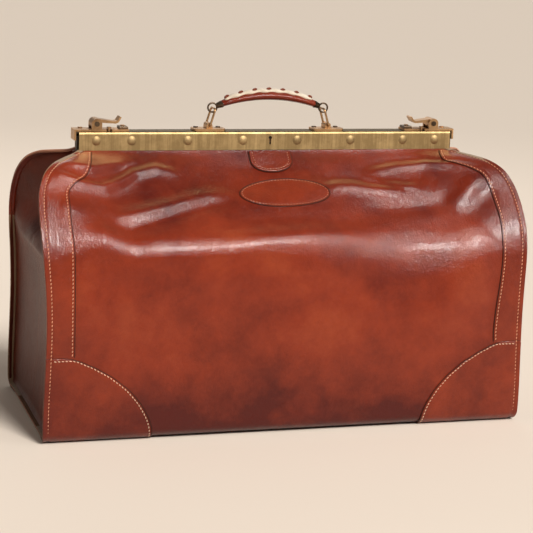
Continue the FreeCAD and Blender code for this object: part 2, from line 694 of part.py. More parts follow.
def grip_loft(x0, x1, tall, wide, n=9, tall1=None, wide1=None):
    """Arched bar between x0 and x1, slimming like the grip, or changing evenly
    from one section to the other."""
    tall0, wide0 = tall, wide
    ws = []
    for i in range(n):
        x = x0 + (x1 - x0) * i / (n - 1)
        if tall1 is not None:
            tall = tall0 + (tall1 - tall0) * i / (n - 1)
            wide = wide0 + (wide1 - wide0) * i / (n - 1)
        else:
            tall, wide = tall0 * taper(x)[0], wide0 * taper(x)[1]
        slope = -2 * D["grip_sag"] * x / 55.0 ** 2
        t_ = V(1, 0, slope).normalize()
        up = V(-t_.z, 0, t_.x)
        c = V(x, 0, grip_z(x))
        m = 28
        ring = [c + V(0, 1, 0) * (wide / 2 * math.cos(2 * math.pi * j / m)) +
                up * (tall / 2 * math.sin(2 * math.pi * j / m)) for j in range(m)]
        ws.append(Part.makePolygon(ring + [ring[0]]))
    return Part.makeLoft(ws, True, True)


gh = D["grip_half"]
core = grip_loft(-gh - 3.6, gh + 3.6, D["core_tall"], D["core_wide"])
node("handle_core", feature("handle_core", core))
sleeve = grip_loft(-gh, gh, D["grip_tall"], D["grip_wide"])
bore = grip_loft(-gh - 4, gh + 4, D["core_tall"] + 0.06, D["core_wide"] + 0.06)
node("handle_grip", feature("handle_grip", sleeve.cut(bore)))

# Laced seam along the top of the grip.
knots = []
for i in range(-3, 4):
    x = 15.2 * i
    z = grip_z(x) + D["grip_tall"] * taper(x)[0] / 2 + 2.2
    knots.append(Part.makeCylinder(2.0, 9.0, V(x, -4.5, z), V(0, 1, 0)))
node("handle_lacing", feature("handle_lacing", Part.makeCompound(knots)))

# Ferrules over the grip ends, and the rings on the bails.
gt, gw = D["grip_tall"], D["grip_wide"]
fer = grip_loft(-58.6, -gh - 0.3, 5.6, 5.6, 5, 8.0, 12.0)
fer = fer.cut(grip_loft(-56.5, -gh + 4, D["core_tall"] + 0.5, D["core_wide"] + 0.5, 7))
ends = grip_loft(-58.8, -gh + 2, 12.0, 14.0, 4, 12.0, 14.0)
fn = node("handle_ferrule_left", feature("handle_ferrule_left", fer))
node("handle_ferrule_right", mirror("handle_ferrule_right", fn, V(1, 0, 0)))
rg = Part.makeTorus(D["ring_mid"], D["ring_wire"],
                    V(-D["ring_x"] - 1.2, 0, D["ring_level"] + 0.7), V(0, 1, 0))
rg = rg.cut(ends)
rgn = node("handle_ring_left", feature("handle_ring_left", rg))
node("handle_ring_right", mirror("handle_ring_right", rgn, V(1, 0, 0)))

doc.recompute()

# ---------------------------------------------------------------- checks, export
bad = []
for o in doc.Objects:
    if "Invalid" in o.State or "Error" in o.State:
        bad.append((o.Name, o.State))
for name, o in NODES.items():
    sh = o.Shape
    if sh.isNull() or not sh.isValid() or sh.Volume <= 0 or not sh.Solids:
        bad.append((name, "shape"))
if bad:
    raise RuntimeError("bad objects: %s" % bad)

os.makedirs("parts", exist_ok=True)
for name, o in NODES.items():
    o.Shape.exportStep("parts/%s.step" % name)
    bb = o.Shape.BoundBox
    print("%-26s n=%d vol=%9.1f  x %7.1f %7.1f  y %7.1f %7.1f  z %6.1f %6.1f" % (
        name, len(o.Shape.Solids), o.Shape.Volume, bb.XMin, bb.XMax, bb.YMin, bb.YMax,
        bb.ZMin, bb.ZMax))
print(len(NODES), "nodes")
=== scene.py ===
import bpy
import math
import numpy as np
from mathutils import Matrix, Vector


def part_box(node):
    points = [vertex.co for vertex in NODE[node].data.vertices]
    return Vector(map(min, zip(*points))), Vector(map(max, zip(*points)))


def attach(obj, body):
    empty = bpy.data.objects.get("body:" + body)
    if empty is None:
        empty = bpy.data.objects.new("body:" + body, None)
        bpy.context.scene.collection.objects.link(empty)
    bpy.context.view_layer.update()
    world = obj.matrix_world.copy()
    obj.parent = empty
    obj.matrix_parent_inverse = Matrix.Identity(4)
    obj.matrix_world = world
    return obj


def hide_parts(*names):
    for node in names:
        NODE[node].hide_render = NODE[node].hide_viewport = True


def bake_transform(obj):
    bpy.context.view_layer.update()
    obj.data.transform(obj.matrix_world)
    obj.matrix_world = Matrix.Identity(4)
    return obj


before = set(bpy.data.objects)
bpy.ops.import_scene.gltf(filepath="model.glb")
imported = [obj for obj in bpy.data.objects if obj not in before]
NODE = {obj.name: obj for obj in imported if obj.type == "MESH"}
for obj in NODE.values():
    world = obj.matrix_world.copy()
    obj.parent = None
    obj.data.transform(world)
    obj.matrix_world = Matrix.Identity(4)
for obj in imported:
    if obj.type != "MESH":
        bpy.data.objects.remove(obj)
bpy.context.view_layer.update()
MM = 0.001

# --- surface begin
# Leather surfaces of the bag, in millimetres. The front half is made here; the
# back half is its mirror image with its own creases.
MID = np.array([
    (-60, 0.9), (-98, 0.8), (-109, 1.6), (-115.6, 6.0), (-118.4, 14), (-120.6, 40),
    (-122.6, 80), (-123.0, 120), (-121.6, 155), (-118.6, 182), (-114, 199),
    (-106, 211), (-94, 221), (-78, 233.5), (-60, 247.5), (-42, 261.5), (-25, 275.5),
    (-14.2, 285.4), (-9.9, 292), (-9.7, 300)], float)
# a crisper bend on the left, a rounder one on the right
MID_L = MID.copy()
MID_L[9:13] = [(-119.6, 184), (-117.2, 198.5), (-109.5, 209.5), (-94.5, 220)]
MID_R = MID.copy()
MID_R[7:14] = [(-121.5, 120), (-119.2, 151), (-115.0, 176), (-108.0, 195), (-98.3, 209.5),
               (-86.8, 221.8), (-73.0, 233.8)]
END = np.array([
    (262.0, -60, 0.9), (262.5, -98, 0.8), (263.5, -109, 1.6), (264.5, -115.6, 6.0),
    (265.0, -118.2, 14), (264.6, -119.2, 40), (263.2, -120.2, 80), (262.3, -120.8, 120),
    (263.0, -120.2, 155), (264.6, -118.2, 182), (265.8, -113.5, 203),
    (266.5, -104.5, 221), (266.2, -90, 240), (263.5, -75, 257.5), (256.5, -62, 271.5),
    (245.5, -48.5, 279.5), (232.0, -33, 283.0), (218.0, -18, 285.8), (209.0, -10.0, 291.5),
    (206.5, -9.7, 300)], float)


def catmull(P, t):
    """Smooth curve through the rows of P at parameters t in [0, len(P)-1]."""
    P = np.asarray(P, float)
    n = len(P) - 1
    t = np.clip(np.asarray(t, float), 0, n - 1e-9)
    i = t.astype(int)
    f = (t - i)[..., None]
    p0 = P[np.maximum(i - 1, 0)]
    p1 = P[i]
    p2 = P[i + 1]
    p3 = P[np.minimum(i + 2, n)]
    return 0.5 * ((2 * p1) + (-p0 + p2) * f + (2 * p0 - 5 * p1 + 4 * p2 - p3) * f ** 2
                  + (-p0 + 3 * p1 - 3 * p2 + p3) * f ** 3)


def smooth(a, b, x):
    t = np.clip((x - a) / (b - a), 0, 1)
    return t * t * (3 - 2 * t)


_T = np.linspace(0, len(MID) - 1, 2401)
_M = catmull(MID, _T)
_S = np.concatenate([[0], np.cumsum(np.linalg.norm(np.diff(_M, axis=0), axis=1))])
S_LEN = float(_S[-1])            # length of the middle line, base to rail


def t_of_s(s):
    return np.interp(s, _S, _T)


def s_of_z(z):
    """Arc length where the middle line reaches height z (above the bottom roll)."""
    k = _T > 2
    return float(np.interp(z, _M[k, 1], _S[k]))


def wave(x, y, seed):
    """Cheap smooth noise, about -1..1."""
    r = np.random.RandomState(seed)
    out = 0
    for k in range(5):
        a, b, p, q = r.uniform(0.5, 1.4), r.uniform(0.5, 1.4), r.uniform(0, 6.3), r.uniform(0, 6.3)
        sg = 1 if r.rand() > 0.5 else -1
        out = out + np.sin(a * x + sg * b * y * 0.8 + p) * np.cos(b * y - sg * a * x * 0.35 + q)
    return out / 2.6


def ridge(X, S, pts, width, height, side=0.0):
    """Crease along a polyline in (X, S): a rounded ridge with a dip beside it."""
    pts = np.array(pts, float)
    best = np.full(X.shape, 1e9)
    sgn = np.zeros(X.shape)
    tt = np.zeros(X.shape)
    n = len(pts) - 1
    for i in range(n):
        a, b = pts[i], pts[i + 1]
        d = b - a
        L2 = d @ d
        t = np.clip(((X - a[0]) * d[0] + (S - a[1]) * d[1]) / L2, 0, 1)
        px, py = X - (a[0] + t * d[0]), S - (a[1] + t * d[1])
        dist = np.hypot(px, py)
        cr = (d[0] * py - d[1] * px) / math.sqrt(L2)
        k = dist < best
        best = np.where(k, dist, best)
        sgn = np.where(k, cr, sgn)
        tt = np.where(k, (i + t) / n, tt)
    fade = np.sin(np.clip(tt, 0, 1) * math.pi) ** 0.6
    main = np.exp(-(best / width) ** 2)
    dip = np.exp(-((sgn - side) / (width * 1.1)) ** 2) * np.exp(-(best / (width * 2.6)) ** 2) \
        if side else 0
    return height * fade * (main - 0.75 * dip)


S_BEND = s_of_z(206)
S_RAIL = s_of_z(286)

# Creases: polyline in (X along the bag, S up the surface), width, height, dip side
CREASES = [
    ([(-243, 330), (-218, 325), (-194, 329), (-174, 343), (-157, 357), (-132, 364),
      (-108, 356)], 7.5, 4.4, 11.0),
    ([(-236, 352), (-205, 352), (-175, 366), (-140, 374)], 6.0, 1.8, -7.0),
    ([(-190, 292), (-172, 296), (-158, 300), (-125, 310), (-85, 324), (-56, 329)], 10.0, 3.6, -14.0),
    ([(-243, 292), (-226, 288), (-208, 296)], 10.0, 1.8, 0),
    ([(52, 332), (66, 337), (82, 337), (102, 333), (130, 331), (172, 335)], 8.5, 3.6, 11.0),
    ([(96, 350), (126, 340), (158, 331)], 5.0, 1.6, -6.0),
    ([(104, 356), (145, 365), (175, 364), (205, 352), (228, 334)], 7.0, 3.4, 10.0),
    ([(190, 292), (206, 303), (220, 313), (238, 318)], 15.0, 4.6, -18.0),
    ([(166, 150), (183, 200), (206, 244), (224, 262)], 26.0, 2.6, 0),
    ([(222, 150), (226, 190), (220, 225)], 9.0, -1.3, 0),
    ([(-70, 262), (-20, 268), (40, 268), (90, 262)], 12.0, 1.4, 0),
    ([(-236, 230), (-222, 200), (-228, 160)], 10.0, 1.3, 0),
    ([(-110, 150), (-20, 165), (90, 150)], 46.0, 1.6, 0),
]


def skin(X, S, back=False):
    """Outer leather surface at width X and arc position S: points and normals."""
    X = np.asarray(X, float)
    S = np.asarray(S, float)
    X, S = np.broadcast_arrays(X, S)

    def raw(X, S):
        t = t_of_s(S)
        ml, mr = catmull(MID_L, t), catmull(MID_R, t)
        wr = smooth(-40, 150, -X if back else X)[..., None]
        m = ml + (mr - ml) * wr
        e = catmull(END, t)
        # the sheet narrows with its end seams
        u = np.clip(np.abs(X) / e[..., 0], 0, 1.02)
        w = smooth(0.62, 1.0, u)
        yz = m + (e[..., 1:] - m) * w[..., None]
        return np.stack([X, yz[..., 0], yz[..., 1]], -1)

    h = 0.8
    P = raw(X, S)
    dx = raw(X + h, S) - raw(X - h, S)
    ds = raw(X, np.minimum(S + h, S_LEN)) - raw(X, np.maximum(S - h, 0))
    N = np.cross(dx, ds)
    N /= np.linalg.norm(N, axis=-1, keepdims=True) + 1e-12
    t = t_of_s(S)
    e = catmull(END, t)
    u = np.clip(np.abs(X) / e[..., 0], 0, 1)
    sx = -X if back else X
    # creases and soft swells die out at the seams, the rail and the base
    keep = smooth(1.0, 0.93, u) * smooth(S_RAIL + 2, S_RAIL - 22, S) * smooth(45, 75, S)
    d = np.zeros(X.shape)
    for pts, wd, ht, side in CREASES:
        q = [(p[0], p[1]) for p in pts]
        d += ridge(sx, S, q, wd, ht * (0.85 if back else 1.0), side)
    seed = 11 if back else 4
    slope = smooth(S_BEND - 60, S_BEND + 10, S)
    d += (0.9 + 1.0 * slope) * wave(sx / 42.0, S / 34.0, seed)
    d += (0.22 + 0.25 * slope) * wave(sx / 14.0, S / 12.0, seed + 1)
    # the shoulder line wanders a little
    d += np.interp(sx, [-262, -250, -203, -172, -150, -93, -37, 60, 150, 250],
                   [0, -1.5, 3.6, -2.2, -0.6, 1.6, 2.6, 2.0, 0, 0]) \
        * np.exp(-((S - S_BEND - 9) / 17.0) ** 2)
    d *= keep
    # stitched edge: the seam line is drawn in, the flange beyond it stays full
    edge = e[..., 0] - np.abs(X)
    d += -0.75 * np.exp(-((edge - 5.4) / 1.3) ** 2) * smooth(0.0, 40.0, S)
    P = P + N * d[..., None]
    if back:
        P = P * np.array([1, -1, 1])
        N = N * np.array([1, -1, 1])
    return P, N


def x_end(S):
    return catmull(END, t_of_s(S))[..., 0]
# --- surface end


# ------------------------------------------------------------------ mesh tools
def new_object(name, verts, faces, mats, face_mat=None, sharp=None):
    me = bpy.data.meshes.new(name)
    me.from_pydata([tuple(v) for v in np.asarray(verts) * MM], [], faces)
    for m in mats:
        me.materials.append(m)
    if face_mat is not None:
        me.polygons.foreach_set("material_index", np.asarray(face_mat, dtype=np.int32))
    me.polygons.foreach_set("use_smooth", np.ones(len(me.polygons), dtype=bool))
    me.update()
    if sharp:
        me.set_sharp_from_angle(angle=math.radians(sharp))
    ob = bpy.data.objects.new(name, me)
    bpy.context.scene.collection.objects.link(ob)
    return ob


def grid_faces(nr, nc, off=0, flip=False, wrap=False):
    out = []
    m = nc if wrap else nc - 1
    for r in range(nr - 1):
        for c in range(m):
            a = off + r * nc + c
            b = off + r * nc + (c + 1) % nc
            q = (a, b, b + nc, a + nc)
            out.append(q[::-1] if flip else q)
    return out


def shell(name, outer, inner, mats, sharp=35, flip=False, rim_mat=1, in_mat=2):
    """Closed sheet between two point grids (rows, columns, xyz)."""
    nr, nc = outer.shape[:2]
    V_ = np.concatenate([outer.reshape(-1, 3), inner.reshape(-1, 3)])
    n = nr * nc
    f = grid_faces(nr, nc, 0, flip)
    k = len(f)
    f += grid_faces(nr, nc, n, not flip)
    fm = [0] * k + [min(in_mat, len(mats) - 1)] * k
    ring = [c for c in range(nc)] + [r * nc + nc - 1 for r in range(1, nr)] + \
           [(nr - 1) * nc + c for c in range(nc - 2, -1, -1)] + \
           [r * nc for r in range(nr - 2, 0, -1)]
    for i in range(len(ring)):
        a, b = ring[i], ring[(i + 1) % len(ring)]
        q = (b, a, a + n, b + n)
        f.append(q[::-1] if flip else q)
        fm.append(min(rim_mat, len(mats) - 1))
    return new_object(name, V_, f, mats, fm, sharp)


def capsules(name, segs, radius, mat, flat=0.7, ns=6):
    """Many small rounded rods in one mesh: segs is a list of (a, b, normal)."""
    vs, fs = [], []
    rings = [(0.0, 0.35), (0.12, 0.8), (0.5, 1.0), (0.88, 0.8), (1.0, 0.35)]
    for a, b, nrm in segs:
        a, b, nrm = (np.asarray(q, float) for q in (a, b, nrm))
        t = b - a
        L_ = np.linalg.norm(t)
        if L_ < 1e-6:
            continue
        t = t / L_
        s = np.cross(t, nrm)
        s /= np.linalg.norm(s) + 1e-9
        n2 = np.cross(s, t)
        o = len(vs)
        for f, r in rings:
            c = a + t * (L_ * f)
            for k in range(ns):
                g = 2 * math.pi * k / ns
                vs.append(c + s * (radius * r * math.cos(g)) + n2 * (radius * r * flat * math.sin(g)))
        for i in range(len(rings) - 1):
            for k in range(ns):
                p = o + i * ns + k
                q = o + i * ns + (k + 1) % ns
                fs.append((p, q, q + ns, p + ns))
        fs.append(tuple(o + k for k in range(ns))[::-1])
        fs.append(tuple(o + (len(rings) - 1) * ns + k for k in range(ns)))
    return new_object(name, vs, fs, [mat])


def stitch_run(path, normals, pitch=3.9, length=2.3, lift=0.2, tilt=0.25):
    """Stitches along a dense polyline lying on the leather."""
    path = np.asarray(path, float)
    normals = np.asarray(normals, float)
    s = np.concatenate([[0], np.cumsum(np.linalg.norm(np.diff(path, axis=0), axis=1))])
    total = s[-1]
    n = max(1, int(round(total / pitch)))
    out = []
    for i in range(n):
        c = (i + 0.5) * total / n
        pa = np.array([np.interp(c - length / 2, s, path[:, k]) for k in range(3)])
        pb = np.array([np.interp(c + length / 2, s, path[:, k]) for k in range(3)])
        nn = np.array([np.interp(c, s, normals[:, k]) for k in range(3)])
        nn /= np.linalg.norm(nn) + 1e-9
        t = pb - pa
        side = np.cross(t, nn)
        side /= np.linalg.norm(side) + 1e-9
        out.append((pa + nn * lift - side * tilt, pb + nn * lift + side * tilt, nn))
    return out


def tube(name, pts, radius, mat, ns=12, closed=False, squash_n=None):
    """Round rod along a polyline; radius may be a list."""
    pts = [Vector(p) for p in pts]
    n = len(pts)
    vs, fs = [], []
    up = None
    for i, p in enumerate(pts):
        if closed:
            t = (pts[(i + 1) % n] - pts[i - 1]).normalized()
        else:
            t = (pts[min(i + 1, n - 1)] - pts[max(i - 1, 0)]).normalized()
        if up is None:
            up = Vector((0, 0, 1)) if abs(t.z) < 0.9 else Vector((0, 1, 0))
        up = (up - t * up.dot(t)).normalized()
        s = t.cross(up)
        r = radius[i] if hasattr(radius, "__len__") else radius
        for k in range(ns):
            g = 2 * math.pi * k / ns
            vs.append(p + s * (r * math.cos(g)) + up * (r * math.sin(g)))
    m = n if closed else n - 1
    for i in range(m):
        for k in range(ns):
            a = i * ns + k
            b = i * ns + (k + 1) % ns
            j = ((i + 1) % n) * ns
            fs.append((a, b, j + (k + 1) % ns, j + k))
    if not closed:
        fs.append(tuple(range(ns))[::-1])
        fs.append(tuple((n - 1) * ns + k for k in range(ns)))
    return new_object(name, [tuple(v) for v in vs], fs, [mat])


# ------------------------------------------------------------------ materials
def material(name):
    m = bpy.data.materials.new(name)
    m.use_nodes = True
    nt = m.node_tree
    bsdf = nt.nodes["Principled BSDF"]
    return m, nt, bsdf


def add(nt, kind, **inputs):
    n = nt.nodes.new(kind)
    for k, v in inputs.items():
        key = k.replace("_", " ")
        if key in n.inputs:
            n.inputs[key].default_value = v
        else:
            setattr(n, k, v)
    return n


def mix_rgb(nt, fac, a, b, mode="MIX"):
    n = nt.nodes.new("ShaderNodeMix")
    n.data_type = "RGBA"
    n.blend_type = mode
    for sock, val in ((n.inputs[0], fac), (n.inputs[6], a), (n.inputs[7], b)):
        if hasattr(val, "is_output") or hasattr(val, "links"):
            nt.links.new(val, sock)
        elif isinstance(val, (int, float)):
            sock.default_value = val
        else:
            sock.default_value = (*val, 1.0)
    return n.outputs[2]


def ramp(nt, fac, stops):
    n = nt.nodes.new("ShaderNodeValToRGB")
    while len(n.color_ramp.elements) < len(stops):
        n.color_ramp.elements.new(0.5)
    for el, (p, c) in zip(n.color_ramp.elements, stops):
        el.position = p
        el.color = (*c, 1.0) if len(c) == 3 else c
    nt.links.new(fac, n.inputs[0])
    return n.outputs[0]


def coords(nt, scale=(1, 1, 1), rot=(0, 0, 0)):
    tc = nt.nodes.new("ShaderNodeTexCoord")
    mp = nt.nodes.new("ShaderNodeMapping")
    mp.inputs["Scale"].default_value = scale
    mp.inputs["Rotation"].default_value = rot
    nt.links.new(tc.outputs["Object"], mp.inputs[0])
    return mp.outputs[0]


def noise(nt, vec, scale, detail=3.0, rough=0.55, dist=0.0):
    n = nt.nodes.new("ShaderNodeTexNoise")
    n.inputs["Scale"].default_value = scale
    n.inputs["Detail"].default_value = detail
    n.inputs["Roughness"].default_value = rough
    n.inputs["Distortion"].default_value = dist
    nt.links.new(vec, n.inputs["Vector"])
    return n.outputs[0]


def maths(nt, op, a, b=None, clamp=False):
    n = nt.nodes.new("ShaderNodeMath")
    n.operation = op
    n.use_clamp = clamp
    for i, v in enumerate((a, b)):
        if v is None:
            continue
        if isinstance(v, (int, float)):
            n.inputs[i].default_value = v
        else:
            nt.links.new(v, n.inputs[i])
    return n.outputs[0]


# The darkening of the colour towards the foot and above the bend is painted shade, scaled by one strength
# argument.
def leather(name, dark, base, light, rough=0.30, coat=0.9, grain=1.0, mottle=1.0,
            spec=0.12, painted_shade=1.0):
    m, nt, b = material(name)
    v = coords(nt)
    big = noise(nt, v, 9.0, 3.0, 0.5, 0.6)
    med = noise(nt, v, 34.0, 4.0, 0.6, 0.3)
    fine = noise(nt, v, 160.0, 3.0, 0.6)
    f = maths(nt, "ADD", maths(nt, "MULTIPLY", big, 0.62 * mottle),
              maths(nt, "MULTIPLY", med, 0.30 * mottle))
    f = maths(nt, "ADD", f, maths(nt, "MULTIPLY", fine, 0.10))
    # painted shade: the colour is darkened towards the foot of the bag and above the bend
    tc2 = nt.nodes.new("ShaderNodeTexCoord")
    sp2 = nt.nodes.new("ShaderNodeSeparateXYZ")
    nt.links.new(tc2.outputs["Object"], sp2.inputs[0])
    painted_foot_shade = nt.nodes.new("ShaderNodeMapRange")
    painted_foot_shade.interpolation_type = "SMOOTHSTEP"
    for k_, v_ in (("From Min", 0.0), ("From Max", 0.12), ("To Min", -0.26 * painted_shade), ("To Max", 0.0)):
        painted_foot_shade.inputs[k_].default_value = v_
    nt.links.new(sp2.outputs[2], painted_foot_shade.inputs[0])
    painted_slope_shade = nt.nodes.new("ShaderNodeMapRange")
    painted_slope_shade.interpolation_type = "SMOOTHSTEP"
    for k_, v_ in (("From Min", 0.205), ("From Max", 0.245), ("To Min", 0.0), ("To Max", -0.14 * painted_shade)):
        painted_slope_shade.inputs[k_].default_value = v_
    nt.links.new(sp2.outputs[2], painted_slope_shade.inputs[0])
    f = maths(nt, "ADD", f, maths(nt, "ADD", painted_foot_shade.outputs[0], painted_slope_shade.outputs[0]))
    col = ramp(nt, f, [(0.24, dark), (0.50, base), (0.74, light)])
    # darker in the pores
    vo = nt.nodes.new("ShaderNodeTexVoronoi")
    vo.feature = "DISTANCE_TO_EDGE"
    vo.inputs["Scale"].default_value = 900.0
    nt.links.new(v, vo.inputs["Vector"])
    pore = maths(nt, "MULTIPLY", vo.outputs[0], 6.0, True)
    col2 = mix_rgb(nt, maths(nt, "MULTIPLY", maths(nt, "SUBTRACT", 1.0, pore), 0.22), col,
                   tuple(c * 0.45 for c in dark))
    nt.links.new(col2, b.inputs["Base Color"])
    # long faint scuffs
    sc = noise(nt, coords(nt, (14, 30, 20), (0, 0.7, 0.4)), 6.0, 5.0, 0.7, 0.4)
    r = maths(nt, "ADD", rough - 0.10, maths(nt, "MULTIPLY", sc, 0.16))
    r = maths(nt, "ADD", r, maths(nt, "MULTIPLY", med, 0.06))
    nt.links.new(r, b.inputs["Roughness"])
    b.inputs["Specular IOR Level"].default_value = spec
    b.inputs["Coat Weight"].default_value = coat
    nt.links.new(maths(nt, "ADD", 0.04, maths(nt, "MULTIPLY", big, 0.14)),
                 b.inputs["Coat Roughness"])
    b.inputs["Coat IOR"].default_value = 1.40
    b.inputs["Subsurface Weight"].default_value = 0.0
    # grain: fine pebble, wrinkles and a soft hand-finished wobble
    wr = nt.nodes.new("ShaderNodeTexVoronoi")
    wr.feature = "F1"
    wr.inputs["Scale"].default_value = 420.0
    nt.links.new(v, wr.inputs["Vector"])
    h = maths(nt, "ADD", maths(nt, "MULTIPLY", pore, 0.25 * grain),
              maths(nt, "MULTIPLY", wr.outputs[0], 0.35 * grain))
    h = maths(nt, "ADD", h, maths(nt, "MULTIPLY", noise(nt, v, 75.0, 5.0, 0.6, 0.5), 1.7 * grain))
    h = maths(nt, "ADD", h, maths(nt, "MULTIPLY", noise(nt, v, 22.0, 2.0), 3.0 * grain))
    zone = nt.nodes.new("ShaderNodeMapRange")
    zone.interpolation_type = "SMOOTHSTEP"
    for k_, v_ in (("From Min", 0.185), ("From Max", 0.215), ("To Min", 0.0), ("To Max", 2.6 * grain)):
        zone.inputs[k_].default_value = v_
    nt.links.new(sp2.outputs[2], zone.inputs[0])
    wk = noise(nt, coords(nt, (1.0, 0.5, 0.30)), 210.0, 3.0, 0.55, 0.8)
    patchy = maths(nt, "MULTIPLY", noise(nt, v, 16.0, 2.0), 1.0)
    h = maths(nt, "ADD", h, maths(nt, "MULTIPLY", maths(nt, "MULTIPLY", wk, zone.outputs[0]), patchy))
    bp = nt.nodes.new("ShaderNodeBump")
    bp.inputs["Strength"].default_value = 0.55
    bp.inputs["Distance"].default_value = 0.0006
    nt.links.new(h, bp.inputs["Height"])
    nt.links.new(bp.outputs[0], b.inputs["Normal"])
    # the coat follows the same height with a weaker bump, so that gloss stays smoother
    bc = nt.nodes.new("ShaderNodeBump")
    bc.inputs["Strength"].default_value = 0.35
    bc.inputs["Distance"].default_value = 0.0006
    nt.links.new(h, bc.inputs["Height"])
    nt.links.new(bc.outputs[0], b.inputs["Coat Normal"])
    return m


def metal(name, col, dark, rough=0.32, brush=(1, 1, 1), tarnish=0.5, streak=0.5,
          painted_top_shade=0.0):
    m, nt, b = material(name)
    v = coords(nt)
    st = noise(nt, coords(nt, brush), 40.0, 6.0, 0.7)
    big = noise(nt, v, 26.0, 4.0, 0.6, 0.8)
    fine = noise(nt, v, 300.0, 3.0, 0.6)
    f = maths(nt, "ADD", maths(nt, "MULTIPLY", st, streak),
              maths(nt, "MULTIPLY", big, tarnish))
    f = maths(nt, "ADD", f, maths(nt, "MULTIPLY", fine, 0.12))
    wide = noise(nt, coords(nt, tuple(q * 0.3 for q in brush)), 22.0, 3.0, 0.6)
    f = maths(nt, "ADD", f, maths(nt, "MULTIPLY", maths(nt, "SUBTRACT", wide, 0.5), streak))
    c = ramp(nt, f, [(0.36, dark), (0.55, col), (0.76, tuple(min(1, q * 1.28) for q in col))])
    # painted shade: faces turned upwards are darkened towards a deep brass tone
    if painted_top_shade:
        ge = nt.nodes.new("ShaderNodeNewGeometry")
        sz = nt.nodes.new("ShaderNodeSeparateXYZ")
        nt.links.new(ge.outputs["Normal"], sz.inputs[0])
        up = nt.nodes.new("ShaderNodeMapRange")
        up.interpolation_type = "SMOOTHSTEP"
        for k_, v_ in (("From Min", 0.25), ("From Max", 0.9), ("To Min", 0.0), ("To Max", painted_top_shade)):
            up.inputs[k_].default_value = v_
        nt.links.new(sz.outputs[2], up.inputs[0])
        c = mix_rgb(nt, up.outputs[0], c, tuple(q * 0.25 for q in dark))
    nt.links.new(c, b.inputs["Base Color"])
    b.inputs["Metallic"].default_value = 1.0
    r = maths(nt, "ADD", rough - 0.08, maths(nt, "MULTIPLY", st, 0.22))
    nt.links.new(r, b.inputs["Roughness"])
    bp = nt.nodes.new("ShaderNodeBump")
    bp.inputs["Strength"].default_value = 0.35
    bp.inputs["Distance"].default_value = 0.0002
    nt.links.new(maths(nt, "ADD", st, maths(nt, "MULTIPLY", fine, 0.4)), bp.inputs["Height"])
    nt.links.new(bp.outputs[0], b.inputs["Normal"])
    return m


def cloth(name, a, c, scale=900.0, rough=0.9):
    m, nt, b = material(name)
    w1 = nt.nodes.new("ShaderNodeTexWave")
    w1.wave_type = "BANDS"
    w1.bands_direction = "X"
    w1.inputs["Scale"].default_value = scale / 3.0
    w1.inputs["Distortion"].default_value = 0.6
    w2 = nt.nodes.new("ShaderNodeTexWave")
    w2.wave_type = "BANDS"
    w2.bands_direction = "Z"
    w2.inputs["Scale"].default_value = scale / 3.0
    w2.inputs["Distortion"].default_value = 0.6
    v = coords(nt, (1, 1, 1), (0.1, 0.1, 0.4))
    nt.links.new(v, w1.inputs["Vector"])
    nt.links.new(v, w2.inputs["Vector"])
    h = maths(nt, "MULTIPLY", w1.outputs[1], w2.outputs[1])
    big = noise(nt, v, 18.0, 3.0)
    col = mix_rgb(nt, maths(nt, "ADD", maths(nt, "MULTIPLY", h, 0.5),
                            maths(nt, "MULTIPLY", big, 0.4), True), a, c)
    nt.links.new(col, b.inputs["Base Color"])
    b.inputs["Roughness"].default_value = rough
    b.inputs["Sheen Weight"].default_value = 0.3
    bp = nt.nodes.new("ShaderNodeBump")
    bp.inputs["Strength"].default_value = 0.5
    bp.inputs["Distance"].default_value = 0.0003
    nt.links.new(h, bp.inputs["Height"])
    nt.links.new(bp.outputs[0], b.inputs["Normal"])
    return m


def thread(name, col):
    m, nt, b = material(name)
    v = coords(nt)
    n = noise(nt, v, 500.0, 2.0)
    big = noise(nt, v, 30.0, 2.0)
    c = ramp(nt, maths(nt, "ADD", maths(nt, "MULTIPLY", n, 0.5), maths(nt, "MULTIPLY", big, 0.5)),
             [(0.35, tuple(q * 0.62 for q in col)), (0.6, col)])
    nt.links.new(c, b.inputs["Base Color"])
    b.inputs["Roughness"].default_value = 0.55
    b.inputs["Sheen Weight"].default_value = 0.2
    bp = nt.nodes.new("ShaderNodeBump")
    bp.inputs["Strength"].default_value = 0.6
    bp.inputs["Distance"].default_value = 0.0001
    nt.links.new(n, bp.inputs["Height"])
    nt.links.new(bp.outputs[0], b.inputs["Normal"])
    return m


PANEL = leather("panel_leather", (0.072, 0.0036, 0.0012), (0.222, 0.0245, 0.0058),
                (0.325, 0.056, 0.0150), mottle=0.92, spec=0.08)
# trim and gusset leather get a weaker painted shade at the foot and above the bend
TRIM = leather("trim_leather", (0.088, 0.006, 0.0018), (0.245, 0.029, 0.0068), (0.34, 0.056, 0.0150),
               mottle=0.85, painted_shade=0.45, spec=0.08)
GUSSET = leather("gusset_leather", (0.055, 0.009, 0.004), (0.105, 0.018, 0.008), (0.155, 0.032, 0.014),
                 rough=0.36, coat=0.12, spec=0.07, painted_shade=0.5)
EDGE = leather("cut_edge", (0.30, 0.12, 0.07), (0.48, 0.22, 0.14), (0.62, 0.34, 0.23), rough=0.6,
               coat=0.1, mottle=1.2)
EDGE_DARK = leather("dark_edge", (0.035, 0.010, 0.006), (0.06, 0.016, 0.009), (0.09, 0.028, 0.015),
                    rough=0.5, coat=0.1)
LINING = cloth("lining_cloth", (0.20, 0.12, 0.065), (0.33, 0.22, 0.13))
SUEDE = leather("flesh_side", (0.16, 0.08, 0.045), (0.24, 0.13, 0.075), (0.33, 0.19, 0.12), rough=0.85,
                coat=0.0)
